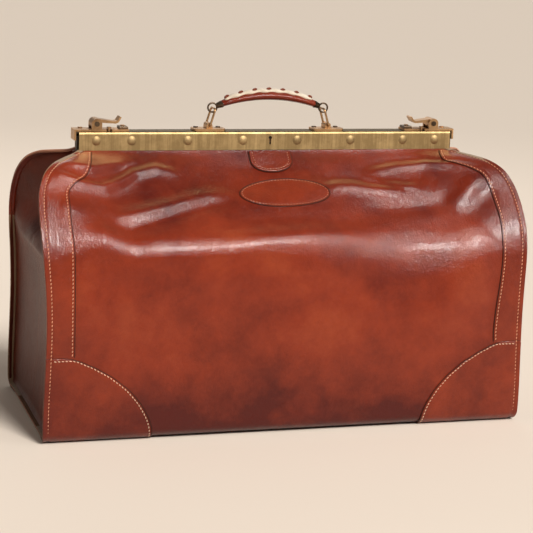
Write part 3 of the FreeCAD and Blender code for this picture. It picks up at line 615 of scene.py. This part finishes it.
# the rail brass has its upward faces darkened as painted shade
BRASS = metal("antique_brass", (0.60, 0.425, 0.208), (0.33, 0.225, 0.103), 0.48, (15, 15, 0.5),
              0.34, 0.34, 0.92)
BRASS2 = metal("old_brass", (0.48, 0.290, 0.145), (0.20, 0.105, 0.050), 0.36, (4, 4, 4), 0.8, 0.3)
RIVET = metal("rivet_brass", (0.37, 0.258, 0.124), (0.17, 0.112, 0.053), 0.55, (4, 4, 4), 0.8, 0.3)
BRONZE = metal("dark_bronze", (0.130, 0.090, 0.058), (0.045, 0.030, 0.020), 0.38, (3, 3, 3), 0.8, 0.3)
STEEL = metal("frame_steel", (0.050, 0.040, 0.032), (0.018, 0.014, 0.012), 0.42, (3, 3, 3), 0.7, 0.4)
PIN = metal("pin_steel", (0.50, 0.48, 0.45), (0.28, 0.26, 0.24), 0.3, (3, 3, 30), 0.4, 0.5)
THREAD = thread("seam_thread", (0.72, 0.33, 0.17))
THREAD2 = thread("pale_thread", (0.80, 0.52, 0.34))
THREAD3 = thread("tonal_thread", (0.40, 0.130, 0.055))
LACE = leather("pale_lace", (0.52, 0.42, 0.31), (0.74, 0.66, 0.54), (0.86, 0.80, 0.70), rough=0.5,
               coat=0.1, grain=0.6)
LACE2 = leather("red_lace", (0.11, 0.022, 0.010), (0.21, 0.045, 0.020), (0.30, 0.075, 0.035), rough=0.4,
                coat=0.2, grain=0.6)


# ------------------------------------------------------------------ body skin
def mirror_y(P):
    return P * np.array([1.0, -1.0, 1.0])


def fine_cols(n):
    """-1..1 with more columns near the seams."""
    u = np.linspace(-1, 1, n)
    return np.sign(u) * (1 - (1 - np.abs(u)) ** 1.25)


NC, NR = ((260, 230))
S_ROWS = np.concatenate([np.linspace(0, 50, NR // 7, endpoint=False),
                         np.linspace(50, S_LEN, NR - NR // 7)])
U_COLS = fine_cols(NC)
THK = 2.3

FRONT, BACK = {}, {}


def make_skin(name, back, nodes):
    S, U = np.meshgrid(S_ROWS, U_COLS, indexing="ij")
    X = U * x_end(S)
    P, N = skin(X, S, back)
    # rounded raw edge at the end seams
    edge = x_end(S) - np.abs(X)
    drop = 0.45 * np.exp(-(edge / 0.9) ** 2)
    Po = P - N * drop[..., None]
    Pi = P - N * (THK - drop)[..., None]
    top = (S > S_RAIL + 6)[..., None]
    ob = shell(name, Po, Pi, [PANEL, EDGE, LINING], 50, flip=back)
    # At full opening small patches of the sheet turn over near the shoulder ends.
    # Leather on the inner faces there only keeps them from standing out; the mesh still turns.
    me = ob.data
    for pl in me.polygons:
        if pl.material_index == 2 and abs(pl.center.x) > 0.172 and pl.center.z > 0.2:
            pl.material_index = 0
    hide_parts(*nodes)
    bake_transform(ob)
    return ob


front_skin = make_skin("front_skin", False, ("front_panel", "front_shoulder"))
back_skin = make_skin("back_skin", True, ("back_panel", "back_shoulder"))

# Base: the middle strip of leather under the bag, between the two wrapped edges.
nb, mb = 90, 40
yb = np.linspace(-60, 60, mb)
ub = np.linspace(-1, 1, nb)
Yb, Ub = np.meshgrid(yb, ub, indexing="ij")
Zb = 0.85 + 0.5 * (1 - np.cos(np.pi * (1 - np.abs(Ub)) ** 2)) * 0.5
Pb = np.stack([Ub * 262.0, Yb, Zb], -1)
base = shell("base_skin", Pb, Pb + np.array([0, 0, 2.0]), [PANEL, EDGE, SUEDE], 50, flip=True)
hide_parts("base_panel")
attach(base, "root")


# ------------------------------------------------------------------ trim pieces
def applique(name, side, back, s0, s1, x_in, x_out, nr, nc, lift=1.15, body=None, node=None,
             mat=None, blend_jaw=None, gain=None):
    """Thin leather piece on the skin between two curves; side is -1 left, 1 right."""
    S = np.linspace(s0, s1, nr)
    cols = np.concatenate([[0, 0.006, 0.02], np.linspace(0.06, 1, nc - 3)])
    SS, CC = np.meshgrid(S, cols, indexing="ij")
    xi, xo = x_in(SS), x_out(SS)
    X = side * (xi + (xo - xi) * CC)
    P, N = skin(X, SS, back)
    # distance from the cut edge, across the piece
    d_in = np.abs(np.abs(X) - xi)
    if gain is not None:
        d_in = d_in * gain(SS)
    ds = np.minimum(SS - s0, s1 - SS)
    rise = lift * (1 - 0.75 * np.exp(-(d_in / 0.45) ** 2)) * (1 - 0.7 * np.exp(-(ds / 0.5) ** 2))
    # the line of stitches pulls the edge down
    rise -= 0.30 * np.exp(-((d_in - 2.4) / 0.9) ** 2)
    outer = P + N * rise[..., None]
    inner = P + N * 0.05
    fl = (side < 0) ^ back
    ob = shell(name, outer, inner, [mat or TRIM, EDGE_DARK], 50, flip=not fl, rim_mat=1, in_mat=0)
    if node:
        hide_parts(node)
    if blend_jaw:
        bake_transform(ob)
    else:
        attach(ob, body)
    return ob


S_PATCH = s_of_z(92.0)
S_B0 = float(np.interp(-98, _M[:600, 0][::-1], _S[:600][::-1])) if False else 30.0

# inner edge of the side strip, distance from the middle along X
STRIP_K = np.array([(S_PATCH, 233.4), (173.5, 233.8), (215, 233.6), (251.6, 233.4), (270.7, 234.4),
                    (291.5, 234.2), (305.8, 232.6), (316.0, 228.0), (326.5, 219.5),
                    (336.0, 212.5), (344.0, 208.0), (361.0, 203.6), (378.0, 200.0),
                    (388.0, 198.0)])


STRIP_KR = np.array([(S_PATCH, 230.0), (157, 229.5), (186, 231.5), (226, 235.5), (255, 237.5),
                     (269, 238.5), (286, 237.5), (304, 236.0), (318, 232.5), (328, 228.0),
                     (341, 217.5), (350, 208.0), (357, 200.5), (370, 195.5), (380, 195.8),
                     (388.0, 197.5)])


def strip_in(S, side=-1):
    K = STRIP_K if side < 0 else STRIP_KR
    t = np.interp(S, K[:, 0], np.arange(len(K)))
    return catmull(K, t)[..., 1]


PATCH_K = np.array([(28.0, 152.0), (40, 151.0), (52, 149.5), (s_of_z(20), 153.0),
                    (s_of_z(40), 163.5), (s_of_z(56), 177.0), (s_of_z(70), 194.0),
                    (s_of_z(80), 211.0), (s_of_z(87), 226.0), (S_PATCH - 1.2, 238.0),
                    (S_PATCH, 246.0)])


def patch_in(S):
    t = np.interp(S, PATCH_K[:, 0], np.arange(len(PATCH_K)))
    return catmull(PATCH_K, t)[..., 1]


def edge_out(S):
    return x_end(S) - 0.25


names = {(-1, False): "front_left", (1, False): "front_right",
         (-1, True): "back_left", (1, True): "back_right"}
for (side, back), nm in names.items():
    jaw = "back_jaw" if back else "front_jaw"
    applique("side_strip_" + nm + "_leather", side, back, S_PATCH - 2.0, S_RAIL + 3.0,
             lambda q, sd=side * (-1 if back else 1): strip_in(q, sd),
             edge_out, 120, 26, 1.1, node="side_strip_" + nm, blend_jaw=jaw)
    applique("corner_patch_" + nm + "_leather", side, back, 28.0, S_PATCH, patch_in,
             edge_out, 90, 60, 1.35, body="root", node="corner_patch_" + nm)


def on_skin(X, S, lift, back=False):
    P, N = skin(np.asarray(X, float), np.asarray(S, float), back)
    return P + N * lift, N


front_st, back_st, root_st = [], [], []
for (side, back), nm in names.items():
    dst = back_st if back else front_st
    # seam along the bag's end, 5.4 mm inside the cut edge
    S = np.linspace(36, S_RAIL + 1, 420)
    P, N = on_skin(side * (x_end(S) - 5.4), S, 1.1, back)
    dst += stitch_run(P, N)
    # inner edge of the side strip
    S = np.linspace(S_PATCH + 1, S_RAIL + 2, 300)
    P, N = on_skin(side * (strip_in(S, side * (-1 if back else 1)) + 2.4), S, 0.95, back)
    dst += stitch_run(P, N)
    # corner patch edge
    S = np.linspace(34, S_PATCH - 3.2, 260)
    xi = patch_in(S + 0.0) + 2.6
    P, N = on_skin(side * xi, S, 1.15, back)
    top = np.linspace(float(xi[-1]) + 0.5, float(x_end(S_PATCH)) - 7.5, 30)
    P2, N2 = on_skin(side * top, np.full(30, S_PATCH - 3.2), 1.15, back)
    root_st += stitch_run(np.concatenate([P, P2]), np.concatenate([N, N2]))

# Blank oval patch: the leather inside its stitched outline stands slightly proud.
S_OV = S_RAIL - 58.3
nr_, na_ = 26, 96
rho = np.concatenate([np.linspace(0.0, 0.93, nr_ - 4), [0.965, 0.985, 0.996, 1.0]])
ang = np.linspace(0, 2 * np.pi, na_, endpoint=False)
RR, AA = np.meshgrid(rho, ang, indexing="ij")
OX = 4.6 + 50.0 * RR * np.cos(AA)
OS = S_OV + 20.6 * RR * np.sin(AA)
P, N = skin(OX, OS)
edge_d = (1 - RR) * 20.0
rise = 1.0 * (1 - 0.8 * np.exp(-(edge_d / 0.4) ** 2)) - 0.35 * np.exp(-((edge_d - 1.9) / 0.7) ** 2)
outer = P + N * rise[..., None]
inner = P + N * 0.04
vs = np.concatenate([outer.reshape(-1, 3), inner.reshape(-1, 3)])
nn = nr_ * na_
fs = grid_faces(nr_, na_, 0, True, True) + grid_faces(nr_, na_, nn, False, True)
fm = [0] * len(fs)
for k in range(na_):
    a = (nr_ - 1) * na_ + k
    b_ = (nr_ - 1) * na_ + (k + 1) % na_
    fs.append((b_, a, a + nn, b_ + nn))
    fm.append(1)
# merge the rings at the middle into single points
oval = new_object("oval_patch_leather", vs, fs, [TRIM, EDGE_DARK], fm, 50)
import bmesh
bm = bmesh.new()
bm.from_mesh(oval.data)
bmesh.ops.remove_doubles(bm, verts=bm.verts, dist=1e-6)
bmesh.ops.recalc_face_normals(bm, faces=bm.faces)
bm.to_mesh(oval.data)
bm.free()
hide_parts("oval_patch")
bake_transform(oval)
a_ = np.linspace(0, 2 * np.pi, 240)
P, N = on_skin(4.6 + 48.0 * np.cos(a_), S_OV + 18.7 * np.sin(a_), 0.75)
oval_st = stitch_run(P, N, pitch=3.4, length=2.0)

# Half-round tab under the rail.
nx = 61
xs = np.linspace(-1, 1, nx)
rows = np.linspace(0, 1, 40)
XX, TT = np.meshgrid(xs, rows, indexing="xy")
half, deep = 23.6, 28.0
low = 11.0 + (deep - 11.0) * np.sqrt(np.clip(1 - np.abs(XX) ** 2.1, 0, 1))
TX = XX * half - 1.3
TS = S_RAIL + 1.0 - low * TT
P, N = skin(TX, TS)
dd = np.minimum(half - np.abs(TX + 1.3), low * (1 - TT))
rise = 2.1 * (1 - 0.6 * np.exp(-(np.clip(dd, 0, 99) / 0.6) ** 2)) - 0.45 * np.exp(-((dd - 3.0) / 0.9) ** 2)
outer = P + N * rise[..., None]
inner = P + N * 0.35
tab = shell("lock_tab_leather", outer, inner, [TRIM, EDGE_DARK], 50, flip=False, rim_mat=1, in_mat=0)
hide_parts("lock_tab")
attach(tab, "front_jaw")
th = np.linspace(-0.96, 0.96, 120)
lw = 11.0 + (deep - 11.0) * np.sqrt(np.clip(1 - np.abs(th) ** 2.1, 0, 1)) - 3.2
path_x = th * (half - 3.0) - 1.3
P, N = on_skin(path_x, S_RAIL + 1.0 - lw, 1.75)
up_l = np.linspace(S_RAIL, S_RAIL + 1.0 - lw[0], 12)
Pl, Nl = on_skin(np.full(12, path_x[0]), up_l, 1.75)
Pr, Nr_ = on_skin(np.full(12, path_x[-1]), up_l[::-1], 1.75)
jaw_st = stitch_run(np.concatenate([Pl, P, Pr]), np.concatenate([Nl, N, Nr_]), pitch=3.2, length=1.9)



def bead(name, X, S, lift, back, body=None, jaw=None, closed=False):
    """Burnished dark edge of a stitched-on piece."""
    P_, _ = on_skin(X, S, lift, back)
    o = tube(name, P_, 0.62, EDGE_DARK, 8, closed)
    if jaw:
        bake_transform(o)
    else:
        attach(o, body)


for (side, back), nm in names.items():
    sd = side * (-1 if back else 1)
    S = np.linspace(S_PATCH + 0.5, S_RAIL + 2, 260)
    bead("strip_edge_" + nm, side * strip_in(S, sd), S, 0.45, back,
         jaw="back_jaw" if back else "front_jaw")
    S = np.linspace(30, S_PATCH, 240)
    xi = patch_in(S)
    X = np.concatenate([xi, np.linspace(float(xi[-1]), float(x_end(S_PATCH)) - 0.4, 24)[1:]])
    S = np.concatenate([S, np.full(23, S_PATCH)])
    bead("patch_edge_" + nm, side * X, S, 0.5, back, body="root")
a_ = np.linspace(0, 2 * np.pi, 200, endpoint=False)
bead("oval_edge", 4.6 + 50.1 * np.cos(a_), S_OV + 20.7 * np.sin(a_), 0.3, False,
     jaw="front_jaw", closed=True)
th = np.linspace(-1.0, 1.0, 140)
lw = 11.0 + (deep - 11.0) * np.sqrt(np.clip(1 - np.abs(th) ** 2.1, 0, 1))
bx_ = np.concatenate([[-half] * 8, th * half, [half] * 8]) - 1.3
bs_ = np.concatenate([np.linspace(S_RAIL + 1, S_RAIL - 9.5, 8), S_RAIL + 1.0 - lw,
                      np.linspace(S_RAIL - 9.5, S_RAIL + 1, 8)])
bead("tab_edge", bx_, bs_, 0.9, False, body="front_jaw")

ob = capsules("front_stitching", front_st, 0.52, THREAD)
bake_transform(ob)
ob = capsules("back_stitching", back_st, 0.52, THREAD)
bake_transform(ob)
ob = capsules("patch_stitching", root_st, 0.52, THREAD2)
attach(ob, "root")
ob = capsules("oval_stitching", oval_st, 0.50, THREAD3)
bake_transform(ob)
ob = capsules("tab_stitching", jaw_st, 0.50, THREAD3)
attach(ob, "front_jaw")

# ------------------------------------------------------------------ gussets
# Seam rows of the gusset, and the point each row reaches at the bag's middle.
G_ROWS = np.array([
    # seam t, centre x, centre z
    (3.0, 256.5, 6.0), (4.0, 255.5, 14.0), (5.0, 253.0, 40.0), (6.0, 250.5, 80.0),
    (7.0, 249.5, 118.0), (8.0, 250.5, 150.0), (8.7, 253.0, 170.0), (9.05, 257.5, 182.0),
    (9.2, 259.2, 185.5), (9.4, 259.0, 190.0), (9.8, 255.0, 198.0), (10.3, 246.0, 205.0),
    (11.0, 236.0, 211.0), (12.0, 227.5, 219.0), (13.0, 222.5, 230.0), (14.0, 219.5, 244.0),
    (15.0, 218.0, 258.0), (16.0, 217.0, 270.0), (17.0, 216.0, 281.0), (17.7, 215.4, 287.5)])


def gusset(side, back):
    nm = ("left" if side < 0 else "right")
    half_nm = "back" if back else "front"
    nr = 190
    nc = 96
    q = np.linspace(0, len(G_ROWS) - 1, nr)
    G = catmull(G_ROWS, q)
    E = catmull(END, G[:, 0])                      # seam point x, y, z
    a = np.concatenate([[0, 0.25, 0.5, 0.75, 1.0, 1.12, 1.3, 1.5],
                        1.5 + 40 * np.linspace(0.02, 1, nc - 8) ** 1.15])
    a = a / a[-1]
    flange = a[4]
    P = np.zeros((nr, nc, 3))
    for j in range(nc):
        if a[j] <= flange:
            f = a[j] / flange
            x = E[:, 0] - 0.5 - 6.0 * f
            y = E[:, 1] + THK + 0.35
            z = E[:, 2] * 1.0
            P[:, j] = np.stack([x, y, z], -1)
        else:
            f = (a[j] - flange) / (1 - flange)
            x0, y0, z0 = E[:, 0] - 6.6, E[:, 1] + THK + 0.6, E[:, 2]
            ez = 1 - (1 - f) ** 1.7
            x = x0 + (G[:, 1] - x0) * ez
            y = y0 + (-0.25 - y0) * f
            z = z0 + (G[:, 2] - z0) * (f ** 0.9)
            P[:, j] = np.stack([x, y, z], -1)
    P[..., 2] = np.maximum(P[..., 2], 3.4)
    # bottom flange: the lowest rows run out to the cut edge
    low = np.clip((14.0 - P[..., 2]) / 10.6, 0, 1) ** 3
    P[..., 0] += np.maximum(0, 263.2 - P[..., 0]) * low
    # soft folds of the inward-turned upper part
    zz, yy = P[..., 2], -P[..., 1]
    up = smooth(184, 200, zz) * smooth(288, 262, zz)
    mid = smooth(0, 14, yy) * smooth(0.0, 0.16, np.broadcast_to(a, (nr, nc)))
    P[..., 0] += up * mid * (2.6 * np.sin(yy / 15.0 + 0.6) * np.exp(-((zz - 214) / 22) ** 2)
                             + 1.6 * np.sin(zz / 9.0 + yy / 21.0))
    lowm = smooth(10, 40, zz) * smooth(183, 150, zz) * smooth(0.0, 0.2, np.broadcast_to(a, (nr, nc)))
    P[..., 0] += lowm * (0.9 * wave(yy / 38.0, zz / 44.0, 21) + 0.2 * wave(yy / 13.0, zz / 15.0, 22))
    P[..., 0] = np.minimum(P[..., 0], 263.6)
    du = np.gradient(P, axis=1)
    dv = np.gradient(P, axis=0)
    N = np.cross(du, dv)
    N /= np.linalg.norm(N, axis=-1, keepdims=True) + 1e-12
    N *= np.sign(N[..., :1].mean())
    inn = P - N * 1.7
    inn[:, -1, 1] = P[:, -1, 1]
    S3 = np.array([side, -1.0 if back else 1.0, 1.0])
    fl = (side < 0) ^ back
    ob = shell("gusset_%s_%s_leather" % (nm, half_nm), P * S3, inn * S3, [GUSSET, EDGE, LINING], 50,
               flip=fl)
    nodes = ["gusset_fold_%s_%s" % (half_nm, nm)]
    if not back:
        nodes.append("gusset_" + nm)
    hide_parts(*nodes)
    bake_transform(ob)
    return P * S3, N * S3


for side in (-1, 1):
    for back in (False, True):
        gusset(side, back)

# ------------------------------------------------------------------ lining tray
nl = 70
lx, ly, lz0, lz1 = 245.0, 112.6, 6.4, 174.0


def tray_point(u, t):
    """u around the rim 0..4; t is not used."""
    side_ = int(u) % 4
    f = (u - int(u)) * 2 - 1
    c = [(f, -1), (1, f), (-f, 1), (-1, -f)][side_]
    return c


ring = np.linspace(0, 4, 4 * nl, endpoint=False)
C = np.array([tray_point(u, 0) for u in ring], float)
levels = [(0.05, 0), (0.3, 0), (0.55, 0), (0.8, 0), (0.93, 0), (0.985, 0), (1.0, 0.012),
          (1.0, 0.04)] + [(1.0, h) for h in np.linspace(0.1, 1.0, 24)]
rows_o = []
for k, (r_, h_) in enumerate(levels):
    X = C[:, 0] * lx * r_
    Y = C[:, 1] * ly * r_
    Z = lz0 + (lz1 - lz0) * h_ + 0 * X
    if h_ > 0.05:
        push = 1.1 * wave(X / 30.0 + Y / 30.0, Z / 34.0, 31) * np.sin(min(h_, 1) * 3.0)
        X = X - np.sign(X) * np.abs(push) * (np.abs(C[:, 0]) > 0.999)
        Y = Y - np.sign(Y) * np.abs(push) * (np.abs(C[:, 1]) > 0.999)
    elif h_ == 0:
        Z = Z + 0.5 * np.abs(wave(X / 40.0, Y / 35.0, 33))
    rows_o.append(np.stack([X, Y, Z], -1))
R = np.array(rows_o)
cen = R[0].mean(0)
nrw, ncl = R.shape[:2]
inn = R.copy()
lev = np.array([h for _, h in levels])
inn[..., 0] -= np.sign(R[..., 0]) * 0.9 * (np.abs(C[:, 0]) > 0.98)
inn[..., 1] -= np.sign(R[..., 1]) * 0.9 * (np.abs(C[:, 1]) > 0.98)
inn[..., 2] += np.where(lev < 0.5, 0.9, 0.0)[:, None] * (lev < 0.05)[:, None]
vs = np.concatenate([R.reshape(-1, 3), inn.reshape(-1, 3), [cen], [cen + np.array([0, 0, 0.9])]])
nn = nrw * ncl
fs = grid_faces(nrw, ncl, 0, False, True) + grid_faces(nrw, ncl, nn, True, True)
for k in range(ncl):
    k2 = (k + 1) % ncl
    a, b_ = (nrw - 1) * ncl + k, (nrw - 1) * ncl + k2
    fs.append((a, b_, b_ + nn, a + nn))
    fs.append((k2, k, 2 * nn))
    fs.append((nn + k, nn + k2, 2 * nn + 1))
tray = new_object("lining_cloth_tray", vs, fs, [LINING], None, 60)
bm = bmesh.new()
bm.from_mesh(tray.data)
bmesh.ops.recalc_face_normals(bm, faces=bm.faces)
bm.to_mesh(tray.data)
bm.free()
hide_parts("lining")
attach(tray, "root")
# pocket: a cloth panel with a hemmed, slightly slack top edge
px = np.linspace(-95, 95, 80)
pz = np.concatenate([np.linspace(42, 143, 40), [144.5, 146, 147]])
PX, PZ = np.meshgrid(px, pz)
slack = 1.4 * np.cos(PX / 95 * math.pi / 2) * ((PZ - 42) / 105) ** 2
hem = 0.5 * np.exp(-((PZ - 145.2) / 1.4) ** 2) - 0.25 * np.exp(-((PZ - 139) / 0.9) ** 2)
PY = 110.9 - slack - hem
o_ = np.stack([PX, PY, PZ], -1)
pocket = shell("pocket_cloth", o_, o_ + np.array([0, 0.9, 0]), [LINING], 50, flip=True)
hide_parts("pocket_panel")
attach(pocket, "root")

# ------------------------------------------------------------------ handle
GR, GS = 346.9, 10.07


def gz(x):
    return GR - GS * (x / 55.0) ** 2


def grip_frame(x):
    sl = -2 * GS * x / 55.0 ** 2
    t = np.array([1.0, 0, sl])
    t /= np.linalg.norm(t)
    return np.array([x, 0, gz(x)]), t, np.array([-t[2], 0, t[0]])


box_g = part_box("handle_grip")
gh = 52.3
nx_, na_ = 90, 40
rows_ = []
for x in np.linspace(-gh, gh, nx_):
    c, t, up = grip_frame(x)
    k = 1 - 0.33 * (x / 52.0) ** 2
    r = []
    for j in range(na_):
        g = 2 * math.pi * j / na_
        cy, cz_ = math.cos(g), math.sin(g)
        tall = 4.75 * k
        wide = 7.9 * (1 - 0.30 * (x / 52.0) ** 2)
        # pinched top where the laced edges meet
        pinch = 0.8 * max(0, cz_) ** 6
        r.append(c + np.array([0, 1, 0]) * wide * cy * (1 - 0.10 * max(0, cz_) ** 2)
                 + up * (tall * cz_ + pinch))
    rows_.append(r)
R = np.array(rows_)
vs = list(R.reshape(-1, 3))
fs = grid_faces(nx_, na_, 0, False, True)
fs.append(tuple(range(na_)))
fs.append(tuple((nx_ - 1) * na_ + j for j in range(na_))[::-1])
grip = new_object("handle_grip_leather", vs, fs, [TRIM], None, 60)
bm = bmesh.new()
bm.from_mesh(grip.data)
bmesh.ops.recalc_face_normals(bm, faces=bm.faces)
bm.to_mesh(grip.data)
bm.free()
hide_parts("handle_grip", "handle_core")
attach(grip, "handle")

# laced seam: a scalloped pale band along the top with red-brown loops over it
pale_rows = []
for x in np.linspace(-49.0, 49.0, 150):
    c, t, up = grip_frame(x)
    k = 1 - 0.33 * (x / 52.0) ** 2
    ph = (x / 15.2) - round(x / 15.2)
    hump = 1.15 + 0.95 * abs(math.sin(math.pi * ph)) ** 1.5
    cap = min(1.0, (49.4 - abs(x)) / 3.0) ** 0.5
    r = []
    for j in range(20):
        g = 2 * math.pi * j / 20
        lean = 1.0 * math.sin(2 * math.pi * ph)
        r.append(c + up * (4.75 * k + 0.2 + 1.45 * hump * cap * math.sin(g))
                 + np.array([0, 1, 0]) * (4.3 * cap * math.cos(g) * (0.86 + 0.14 * hump) + lean))
    pale_rows.append(r)
red = []
for i in range(-3, 4):
    x = 15.2 * i
    c, t, up = grip_frame(x)
    k = 1 - 0.33 * (x / 52.0) ** 2
    top = c + up * (4.75 * k + 1.9)
    for dy, dx_, lift_ in ((0.0, 0.0, 0.0),):
        pts = []
        for q in np.linspace(-1, 1, 13):
            pts.append(top + t * (3.3 * q + dx_) + np.array([0, 1, 0]) * (2.6 * q + dy)
                       + up * (0.7 * (1 - q * q) - 0.5 * q ** 4 + lift_))
        red.append(pts)


def join(name, obs):
    with bpy.context.temp_override(active_object=obs[0], selected_editable_objects=obs):
        bpy.ops.object.join()
    obs[0].name = name
    return obs[0]


r_red = [0.6, 1.1, 1.4, 1.55, 1.65, 1.7, 1.7, 1.7, 1.65, 1.55, 1.4, 1.1, 0.6]
o1 = join("lacing_red", [tube("r%d" % i, p, r_red,
                              LACE2, 12) for i, p in enumerate(red)])
R = np.array(pale_rows)
fs = grid_faces(R.shape[0], 20, 0, False, True)
fs.append(tuple(range(20)))
fs.append(tuple((R.shape[0] - 1) * 20 + j for j in range(20))[::-1])
o2 = new_object("lacing_pale", R.reshape(-1, 3), fs, [LACE], None, 60)
bm = bmesh.new()
bm.from_mesh(o2.data)
bmesh.ops.recalc_face_normals(bm, faces=bm.faces)
bm.to_mesh(o2.data)
bm.free()
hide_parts("handle_lacing")
for o in (o1, o2):
    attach(o, "handle")

# ------------------------------------------------------------------ CAD materials
LOOK = {
    "front_rail": BRASS, "back_rail": BRASS, "front_rivets": RIVET, "back_rivets": RIVET,
    "front_inner_frame": STEEL, "back_inner_frame": STEEL, "lock_case": STEEL,
    "lock_strike": STEEL, "clasp_keeper_left": BRASS2, "clasp_keeper_right": BRASS2,
    "clasp_plate_left": BRASS2, "clasp_plate_right": BRASS2, "clasp_pin_left": BRONZE,
    "clasp_pin_right": BRONZE, "clasp_block_left": BRONZE, "clasp_block_right": BRONZE,
    "clasp_screws": BRASS2, "handle_plate_left": BRASS2, "handle_plate_right": BRASS2,
    "handle_plate_screws": BRONZE, "clasp_lever_left": BRASS2, "clasp_lever_right": BRASS2,
    "bail_left": BRASS2, "bail_right": BRASS2, "handle_ferrule_left": BRONZE,
    "handle_ferrule_right": BRONZE, "handle_ring_left": BRONZE, "handle_ring_right": BRONZE,
    "lock_cam": BRONZE, "lock_bolt": PIN, "hinge_tab_left": STEEL, "hinge_tab_right": STEEL,
    "hinge_pins": PIN, "base_board": SUEDE,
}
for n, m in LOOK.items():
    if n in NODE:
        NODE[n].data.materials.clear()
        NODE[n].data.materials.append(m)

# ------------------------------------------------------------------ studio
mf, nt, b = material("floor_paper")
b.inputs["Base Color"].default_value = (0.735, 0.645, 0.555, 1)
b.inputs["Roughness"].default_value = 0.9
b.inputs["Specular IOR Level"].default_value = 0.1
bpy.ops.mesh.primitive_plane_add(size=60, location=(0, 8, -0.0006))
floor = bpy.context.object
floor.name = "floor"
floor.data.materials.append(mf)

w = bpy.data.worlds.new("studio")
bpy.context.scene.world = w
w.use_nodes = True
wt = w.node_tree
bg = wt.nodes["Background"]
# a dim room, a little brighter towards the back wall
tc = wt.nodes.new("ShaderNodeTexCoord")
sp = wt.nodes.new("ShaderNodeSeparateXYZ")
wt.links.new(tc.outputs["Generated"], sp.inputs[0])
mr = wt.nodes.new("ShaderNodeMapRange")
mr.interpolation_type = "SMOOTHSTEP"
mr.inputs["From Min"].default_value = -0.3
mr.inputs["From Max"].default_value = 0.9
mr.inputs["To Min"].default_value = 0.10
mr.inputs["To Max"].default_value = 0.34
wt.links.new(sp.outputs[1], mr.inputs[0])
bg.inputs[0].default_value = (1.0, 0.91, 0.82, 1)
wt.links.new(mr.outputs[0], bg.inputs[1])


def area(name, loc, target, size, power, color=(1, 0.97, 0.93), size_y=None):
    ld = bpy.data.lights.new(name, "AREA")
    ld.shape = "RECTANGLE"
    ld.size = size
    ld.size_y = size_y or size
    ld.energy = power
    ld.color = color
    ob = bpy.data.objects.new(name, ld)
    bpy.context.scene.collection.objects.link(ob)
    ob.location = loc
    ob.rotation_euler = (Vector(target) - Vector(loc)).to_track_quat("-Z", "Y").to_euler()
    return ob


sun_d = bpy.data.lights.new("sky_panel", "SUN")
sun_d.energy = 3.7
sun_d.angle = math.radians(17)
sun_d.color = (1.0, 0.97, 0.93)
sun = bpy.data.objects.new("sky_panel", sun_d)
bpy.context.scene.collection.objects.link(sun)
sun.rotation_euler = Vector((0.22, -0.70, 0.68)).to_track_quat("Z", "Y").to_euler()
area("window_right", (1.25, -1.15, 0.75), (0.1, 0, 0.2), 0.22, 3.0, size_y=0.8)
area("window_left", (-1.5, -0.35, 1.0), (-0.25, 0, 0.25), 0.25, 1.4, size_y=0.6)
area("crease_light", (0.45, -0.80, 1.70), (0, -0.05, 0.25), 1.1, 5.5, size_y=0.16)
area("back_panel_light", (0.3, 1.7, 1.3), (0, 0, 0.2), 1.2, 5, size_y=0.7)

cam_data = bpy.data.cameras.new("camera")
cam_data.sensor_width = 36.0
cam_data.sensor_fit = "HORIZONTAL"
cam_data.lens = 1786.85 / 533.0 * 36.0
cam_data.clip_end = 200
cam = bpy.data.objects.new("camera", cam_data)
bpy.context.scene.collection.objects.link(cam)
yaw, pitch, roll = -0.298699, 0.2028215, 0.0365077
backv = Vector((math.sin(yaw) * math.cos(pitch), -math.cos(yaw) * math.cos(pitch), math.sin(pitch)))
right = Vector((math.cos(yaw), math.sin(yaw), 0))
upv = backv.cross(right)
r2 = right * math.cos(roll) + upv * math.sin(roll)
u2 = -right * math.sin(roll) + upv * math.cos(roll)
mat = Matrix((r2, u2, backv)).transposed().to_4x4()
mat.translation = Vector((-0.5687, -1.8621, 0.5569))
cam.matrix_world = mat
bpy.context.scene.camera = cam
bpy.context.scene.view_settings.view_transform = "Standard"
bpy.context.scene.view_settings.look = "None"
